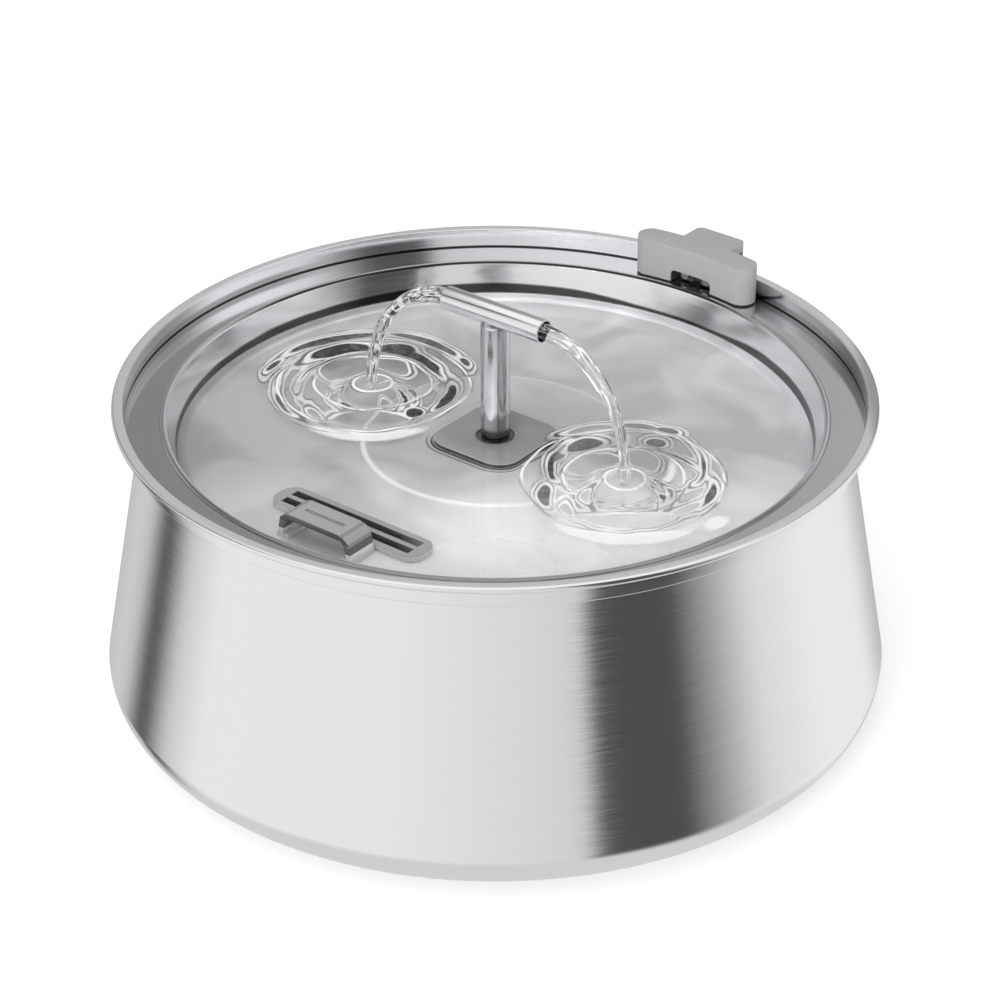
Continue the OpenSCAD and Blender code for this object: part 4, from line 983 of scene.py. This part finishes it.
def make_spout(bar_material, riser_material):
    """Crossbar tube on the riser tube, with the brazed seat between them."""
    bar = lathe(tube_outline(BAR_RADIUS, BAR_RADIUS - TUBE_WALL, BAR_LOW.x, BAR_HIGH.x), [], steps=96)
    turn = Matrix.Rotation(math.pi / 2, 4, "Y")
    bmesh.ops.transform(bar, matrix=Matrix.Translation((0, 0, BAR_AXIS)) @ turn, verts=bar.verts)
    dress("Spout_crossbar_tube", "spout", ["spout_crossbar"], bar, bar_material)
    top = RISER_HIGH.z
    shoulder = 0.8 * MM
    outline = arc((RISER_RADIUS - LIP, RISER_LOW.z + LIP), LIP, -90, 0, 6)
    outline += arc((RISER_RADIUS - shoulder, top - shoulder), shoulder, 0, 90, 10)
    outline += [(1e-5, top), (1e-5, top - shoulder), (RISER_RADIUS - TUBE_WALL, top - shoulder)]
    outline += arc((RISER_RADIUS - TUBE_WALL + LIP, RISER_LOW.z + LIP), LIP, 180, 270, 6)
    riser = lathe(outline, [(RISER_RADIUS - TUBE_WALL, top - shoulder)], steps=96)
    dress("Spout_riser_tube", "spout", ["spout_riser"], riser, riser_material)


# ---------------------------------------------------------------- soft-edged mouldings
CLIP_EDGE = 1.5 * MM
GRILLE_EDGE = 0.35 * MM
HANDLE_EDGE = 0.4 * MM
PAD_EDGE = 0.5 * MM


def make_mouldings(finish):
    """Plastic and silicone pieces with rounded edges, from the CAD solids."""
    clip = copy_node("cord_clip")
    round_edges(clip, CLIP_EDGE, segments=5, sharper_than=40)
    dress("Cord_clip_moulding", "cord_clip", ["cord_clip"], clip, finish["clip"], sharp=35)
    grille = copy_node("drain_grille")
    round_edges(grille, GRILLE_EDGE, sharper_than=40)
    dress("Drain_grille_moulding", "drain_grille", ["drain_grille"], grille,
        finish["grille"], sharp=35)
    handle = copy_node("tray_handle")
    round_edges(handle, HANDLE_EDGE, sharper_than=12)
    dress("Tray_handle_moulding", "tray", ["tray_handle"], handle,
        finish["handle"], sharp=35)
    pad = copy_node("spout_pad")
    round_edges(pad, PAD_EDGE, sharper_than=40)
    dress("Spout_pad_moulding", "tray", ["spout_pad"], pad, finish["pad"], sharp=35)


# ---------------------------------------------------------------- water
WATER_LEVEL = FLANGE_TOP - 13.1 * MM
WATER_RADIUS = 131.35 * MM
STRIKE = 66.5 * MM
RING_REACH = 42 * MM
RING_WAVE = 16.3 * MM
RING_HEIGHT = 0.9 * MM
RINGS_BACK = (-2.0 * MM, 2.6 * MM)
SWELL = 0.16 * MM
WATER_RINGS = 150
WATER_STEPS = 540

# Painted reflections, forms of shade that the light draws in each stream's rings: (bearing from the front in
# degrees, distance in mm, half spans of both, slant in mm per degree, how dark).
RING_FORMS = {
    -1: ((-155, 38.5, 21, 3.2, 0.02, 0.85), (-142, 32.3, 28, 0.9, 0.0, 0.75),
        (-157, 48.5, 26, 2.8, 0.0, 0.82), (-116, 48.0, 6, 1.3, 0.0, 0.8),
        (150, 33.2, 38, 3.2, 0.06, 0.85), (165, 37.0, 13, 3.8, 0.0, 0.85),
        (150, 47.5, 22, 2.6, 0.12, 0.75), (120, 45.0, 5, 1.5, 0.1, 0.75), (78, 33.5, 18, 2.6, 0.03, 0.85),
        (40, 28.5, 7, 3.0, 0.0, 0.9), (58, 16.7, 19, 1.4, -0.25, 0.88), (74, 18.5, 19, 0.9, -0.2, 0.55),
        (-30, 19.8, 16, 1.2, 0.12, 0.75), (-130, 20.2, 9, 3.2, 0.0, 0.3), (-47, 33.0, 9, 2.0, 0.16, 0.1),
        (-145, 21.0, 33, 8.0, 0.0, 0.05), (0, 30.0, 30, 7.0, 0.0, 0.06), (24, 14.0, 9, 3.5, -0.1, 0.1),
        (155, 21.0, 22, 4.4, 0.08, 0.0), (-62, 18.5, 18, 1.6, 0.15, 0.1), (-75, 41.0, 14, 0.9, 0.0, 0.7)),
    1: ((-155, 36.0, 13, 4.2, 0.0, 0.62), (-120, 34.0, 22, 1.3, -0.24, 0.85), (-131, 35.0, 7, 2.2, 0.0, 0.35),
        (-75, 34.0, 14, 2.6, 0.14, 0.7), (-167, 47.0, 15, 3.4, 0.0, 0.0), (-32, 18.0, 7, 1.0, 0.0, 0.8),
        (54, 18.6, 13, 1.3, -0.28, 0.88), (68, 19.8, 13, 0.9, -0.18, 0.55), (75, 35.5, 15, 2.0, 0.0, 0.8),
        (114, 36.0, 17, 0.9, 0.3, 0.7), (137, 32.0, 21, 1.1, -0.05, 0.7), (158, 37.5, 6, 2.8, 0.0, 0.55),
        (156, 48.5, 5, 2.5, 0.0, 0.6), (172, 48.0, 9, 3.0, 0.0, 0.45), (33, 18.0, 9, 0.9, 0.0, 0.45),
        (-145, 20.5, 34, 6.0, 0.06, 0.05), (0, 30.5, 34, 6.0, 0.0, 0.05), (158, 20.5, 23, 6.0, 0.1, 0.05),
        (-25, 14.0, 12, 3.6, 0.0, 0.06), (-50, 31.0, 9, 2.2, 0.2, 0.1), (-62, 18.5, 16, 1.5, 0.2, 0.1),
        (52, 31.0, 12, 2.2, 0.1, 0.1)),
}
# Painted highlights in each stream's rings, in the same columns, the last being how bright.
RING_PAINTED_HIGHLIGHTS = {
    -1: ((-2, 43.0, 34, 3.8, 0.0, 0.75), (-105, 16.0, 20, 3.0, -0.05, 0.6), (-138, 34.8, 9, 0.9, 0.0, 0.8),
        (66, 18.0, 14, 1.1, -0.22, 0.6), (-125, 36.5, 8, 1.4, -0.2, 0.7)),
    1: ((0, 43.5, 40, 4.6, 0.0, 0.8), (112, 20.0, 20, 2.6, 0.3, 0.6), (66, 18.0, 12, 1.3, -0.22, 0.9),
        (-112, 14.0, 26, 2.0, -0.06, 0.55), (48, 47.0, 8, 4.0, 0.0, 0.8)),
}


def form_gap(form, bearing, away, seed):
    """How far outside a form a point lies, in mm; less than nothing is inside."""
    turn, distance, span, width, slant = form[:5]
    off = (bearing - turn + 180) % 360 - 180
    reach = (away / MM - distance - slant * off) / width
    gap = (math.hypot(off / span, reach) - 1) * width
    if gap > 9:
        return gap
    return gap + 0.9 * noise.noise(Vector((off * 0.07, away / (5 * MM), seed + turn)))


def ring_place(side, x, y):
    """Distance of a point from the middle of one stream's rings."""
    return math.hypot(x - side * STRIKE - RINGS_BACK[0], y - RINGS_BACK[1])


def ripple(x, y):
    """Height of the water over its level."""
    height = 0.0
    for side in (-1, 1):
        away = ring_place(side, x, y)
        if away > 1.35 * RING_REACH:
            continue
        bearing = math.atan2(y, x - side * STRIKE)
        wobble = noise.noise(Vector((math.cos(bearing) * 1.4, math.sin(bearing) * 1.4, 3.0 * side)))
        wave = away * (1 + 0.04 * wobble)
        fade = 1 / (1 + math.exp((wave - RING_REACH) / (1.6 * MM)))
        gain = 1 + 0.35 * noise.noise(Vector((x * 90, y * 90, 7.0 + side)))
        height -= RING_HEIGHT * gain * fade * math.cos(2 * math.pi * wave / RING_WAVE)
        strike = math.hypot(x - side * STRIKE, y)
        height += 1.6 * MM * math.exp(-((strike / (3.4 * MM)) ** 2))
    calm = noise.noise(Vector((x * 28, y * 28, 1.5))) + 0.5 * noise.noise(Vector((x * 60, y * 60, 4.5)))
    return height + SWELL * calm


def ring_shades(x, y):
    """How far from the nearest form a point of the pool is, that form's painted shade, and its own painted
    glint.
    """
    nearest, shade, glint = 20.0, 0.0, 0.0
    for side in (-1, 1):
        middle = Vector((x - side * STRIKE, y, 0))
        away = middle.length
        if away > 58 * MM:
            continue
        bearing = math.degrees(math.atan2(middle @ ASIDE, middle @ FRONT))
        beyond = max(0.0, away / MM - 50.0)
        for form in RING_FORMS[side]:
            gap = form_gap(form, bearing, away, 2.0 + side) + (beyond if form[1] < 45 else 0.0)
            if gap < nearest:
                nearest, shade = gap, form[-1]
        for glow in RING_PAINTED_HIGHLIGHTS[side]:
            gap = form_gap(glow, bearing, away, 8.0 + side)
            glint = max(glint, glow[-1] * min(1.0, max(0.0, 0.7 - gap) / 1.6))
    return nearest, shade, glint


def make_water(material):
    """The pool in the dish: a disc whose top carries the rings of the two streams."""
    shape = bmesh.new()
    layers = [shape.verts.layers.float.new(name) for name in ("Gap", "Shade", "Glint")]
    step = WATER_RADIUS / WATER_RINGS
    verts = [shape.verts.new((step * (i + 0.5), 0, WATER_LEVEL)) for i in range(WATER_RINGS)]
    verts.append(shape.verts.new((WATER_RADIUS, 0, WATER_LEVEL)))
    edges = [shape.edges.new(pair) for pair in zip(verts, verts[1:])]
    bmesh.ops.spin(shape, geom=verts + edges, cent=(0, 0, 0), axis=(0, 0, 1), angle=2 * math.pi,
        steps=WATER_STEPS, use_merge=True)
    bmesh.ops.holes_fill(shape, edges=[e for e in shape.edges if e.is_boundary
        and e.verts[0].co.xy.length < step], sides=0)
    for vert in shape.verts:
        reach = vert.co.xy.length
        still = min(1.0, (WATER_RADIUS - reach) / (6 * MM))
        vert.co.z += ripple(vert.co.x, vert.co.y) * (0.25 + 0.75 * max(0.0, still))
        vert.co.z += 0.7 * MM * math.exp(-(WATER_RADIUS - reach) / (1.2 * MM))
        # Each point of the pool carries the painted shade and highlights of the rings.
        for layer, value in zip(layers, ring_shades(vert.co.x, vert.co.y)):
            vert[layer] = value
    bmesh.ops.recalc_face_normals(shape, faces=shape.faces)
    if sum(f.normal.z for f in list(shape.faces)[:50]) < 0:
        bmesh.ops.reverse_faces(shape, faces=shape.faces)
    pool = finish_mesh("Water_pool", shape, material)
    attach(pool, "spout_coupler")


STREAM_STEPS = 90
STREAM_SIDES = 24
STREAM_START = 3.4 * MM
STREAM_END = 2.2 * MM


def stream_path(side):
    """The falling strand's middle line: quickly out of the tube, then almost straight down."""
    handles = [Vector((BAR_HIGH.x, BAR_AXIS)), Vector((BAR_HIGH.x + 23 * MM, BAR_AXIS - 1 * MM)),
        Vector((STRIKE + 0.2 * MM, WATER_LEVEL + 35 * MM)),
        Vector((STRIKE + 0.5 * MM, WATER_LEVEL - 0.6 * MM))]
    path = [Vector((side * (BAR_HIGH.x - 3 * MM), 0, BAR_AXIS))]
    for step in range(STREAM_STEPS + 1):
        t = step / STREAM_STEPS
        weights = ((1 - t) ** 3, 3 * t * (1 - t) ** 2, 3 * t * t * (1 - t), t ** 3)
        x = sum(w * h.x for w, h in zip(weights, handles))
        z = sum(w * h.y for w, h in zip(weights, handles))
        path.append(Vector((side * x, 0, z)))
    return path


def make_stream(side, material, roughly):
    """One falling strand from an open end of the crossbar to its rings; roughly sets its waviness."""
    path = stream_path(side)
    shape = bmesh.new()
    flow = shape.verts.layers.float_vector.new("Flow")
    last = None
    for i, point in enumerate(path):
        ahead = path[min(i + 1, len(path) - 1)] - path[max(i - 1, 0)]
        along = i / (len(path) - 1)
        radius = STREAM_START + (STREAM_END - STREAM_START) * along ** 0.6
        turn = ahead.to_track_quat("Z", "Y").to_matrix().to_4x4()
        ring = bmesh.ops.create_circle(shape, cap_ends=i in (0, len(path) - 1), segments=STREAM_SIDES,
            radius=radius, matrix=Matrix.Translation(point) @ turn)["verts"]
        for k, vert in enumerate(ring):
            angle = 2 * math.pi * k / STREAM_SIDES
            twist = angle + along * 3.0 * side
            lobe = 0.12 * math.cos(2 * twist) + 0.06 * math.cos(3 * twist + 6 * along)
            lobe += 0.16 * noise.noise(Vector((math.cos(angle), math.sin(angle), along * 7 + side * 5)))
            vert.co = point + (vert.co - point) * (1 + roughly * lobe if i > 1 else 0.98)
            vert[flow] = (math.cos(angle), math.sin(angle), along * 4 + side)
        edges = [e for e in {e for v in ring for e in v.link_edges} if all(v in ring for v in e.verts)]
        if last:
            bmesh.ops.bridge_loops(shape, edges=last + edges)
        last = edges
    bmesh.ops.recalc_face_normals(shape, faces=shape.faces)
    name = "Stream_right" if side > 0 else "Stream_left"
    stream = finish_mesh(name, shape, material)
    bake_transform(stream)


# ---------------------------------------------------------------- the finishes of all nodes
def node_finishes():
    """CAD nodes that keep their own shape, by finish."""
    return {
        "rubber": ["foot_ring", "cover_seal", "pump_gland", "shaft_bush_front", "shaft_bush_rear",
            "flange_grommet", "coupler_seals", "clip_sole"],
        "cup": ["suction_cup_1", "suction_cup_2", "suction_cup_3", "suction_cup_4"],
        "white": ["filter_box", "filter_lid", "riser_pipe", "impeller"],
        "dark": ["pump_housing", "pump_cover", "pump_rear_cap", "flow_dial", "cord_clamp"],
        "coupler": ["spout_coupler"],
        "fastener": ["cover_screws", "handle_screws", "clamp_screws"],
        "foam": ["pre_filter_foam"],
        "felt": ["filter_fleece"],
        "media": ["filter_cartridge"],
        "magnet": ["rotor_magnet"],
        "core": ["stator_core"],
        "copper": ["stator_coil"],
        "board": ["driver_board"],
        "ceramic": ["impeller_shaft"],
        "bowl": ["bowl"],
        "tray": ["tray"],
        "spout": ["spout_crossbar"],
        "riser": ["spout_riser"],
        "clip": ["cord_clip"],
        "grille": ["drain_grille"],
        "handle": ["tray_handle"],
        "pad": ["spout_pad"],
    }


def make_finishes():
    """All finishes by name."""
    return {
        "bowl": bowl_steel(),
        "tray": tray_steel(),
        "spout": crossbar_steel(),
        "riser": riser_steel(),
        "fastener": steel("Fastener_steel", 0.35, 0.3, "wall"),
        "clip": moulded("Clip_plastic", 0.37, 0.55, specular=0.3, zones=clip_zones),
        "grille": moulded("Grille_plastic", 0.36, 0.5, specular=0.3, zones=grille_zones),
        "handle": moulded("Handle_plastic", 0.36, 0.5, specular=0.3, zones=handle_zones),
        "pad": moulded("Pad_silicone", 0.36, 0.45, relief=0.03, specular=0.3, zones=pad_zones),
        "coupler": moulded("Coupler_plastic", 0.17, 0.45),
        "rubber": moulded("Black_rubber", 0.02, 0.6),
        "cup": moulded("Grey_rubber", 0.20, 0.4),
        "white": moulded("White_plastic", 0.78, 0.35),
        "dark": moulded("Dark_plastic", 0.05, 0.4),
        "foam": tinted("Foam", (0.12, 0.13, 0.14), 0.95, 900.0, 0.8, depth=0.4, contrast=0.6),
        "felt": tinted("Felt", (0.82, 0.82, 0.80), 0.95, 1500.0, 0.5, depth=0.2),
        "media": tinted("Filter_media", (0.55, 0.60, 0.66), 0.9, 500.0, 0.5, depth=0.3),
        "magnet": tinted("Sintered_magnet", (0.10, 0.10, 0.11), 0.5, 1200.0, 0.2, metallic=0.6),
        "core": tinted("Laminated_core", (0.25, 0.26, 0.28), 0.4, 700.0, 0.2, metallic=0.5),
        "copper": tinted("Copper_windings", (0.62, 0.33, 0.16), 0.3, 900.0, 0.5, metallic=0.9),
        "board": tinted("Circuit_board", (0.04, 0.22, 0.10), 0.3, 400.0, 0.3),
        "ceramic": moulded("Ceramic", 0.88, 0.15, relief=0.0),
    }


def paint_nodes(finish):
    """Gives every CAD node its own finish."""
    for kind, names in node_finishes().items():
        for name in names:
            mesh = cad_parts[name].data
            mesh.materials.clear()
            mesh.materials.append(finish[kind])


def set_up_render():
    """Plain colours, and enough bounces for light to pass through the water."""
    scene = bpy.context.scene
    scene.view_settings.view_transform = "Standard"
    scene.cycles.max_bounces = 16
    scene.cycles.glossy_bounces = 10
    scene.cycles.transmission_bounces = 12
    scene.cycles.transparent_max_bounces = 12
    scene.cycles.use_denoising = True


make_camera()
make_studio()
finishes = make_finishes()
paint_nodes(finishes)
make_bowl(finishes["bowl"])
make_tray(finishes["tray"])
make_spout(finishes["spout"], finishes["riser"])
make_mouldings(finishes)
make_water(clear_water("Pool_water", pool_dark, pool_bright))
make_stream(-1, clear_water("Wavy_stream_water", wavy_dark, wavy_bright), 1.0)
make_stream(1, clear_water("Smooth_stream_water", smooth_dark, smooth_bright), 0.45)
set_up_render()
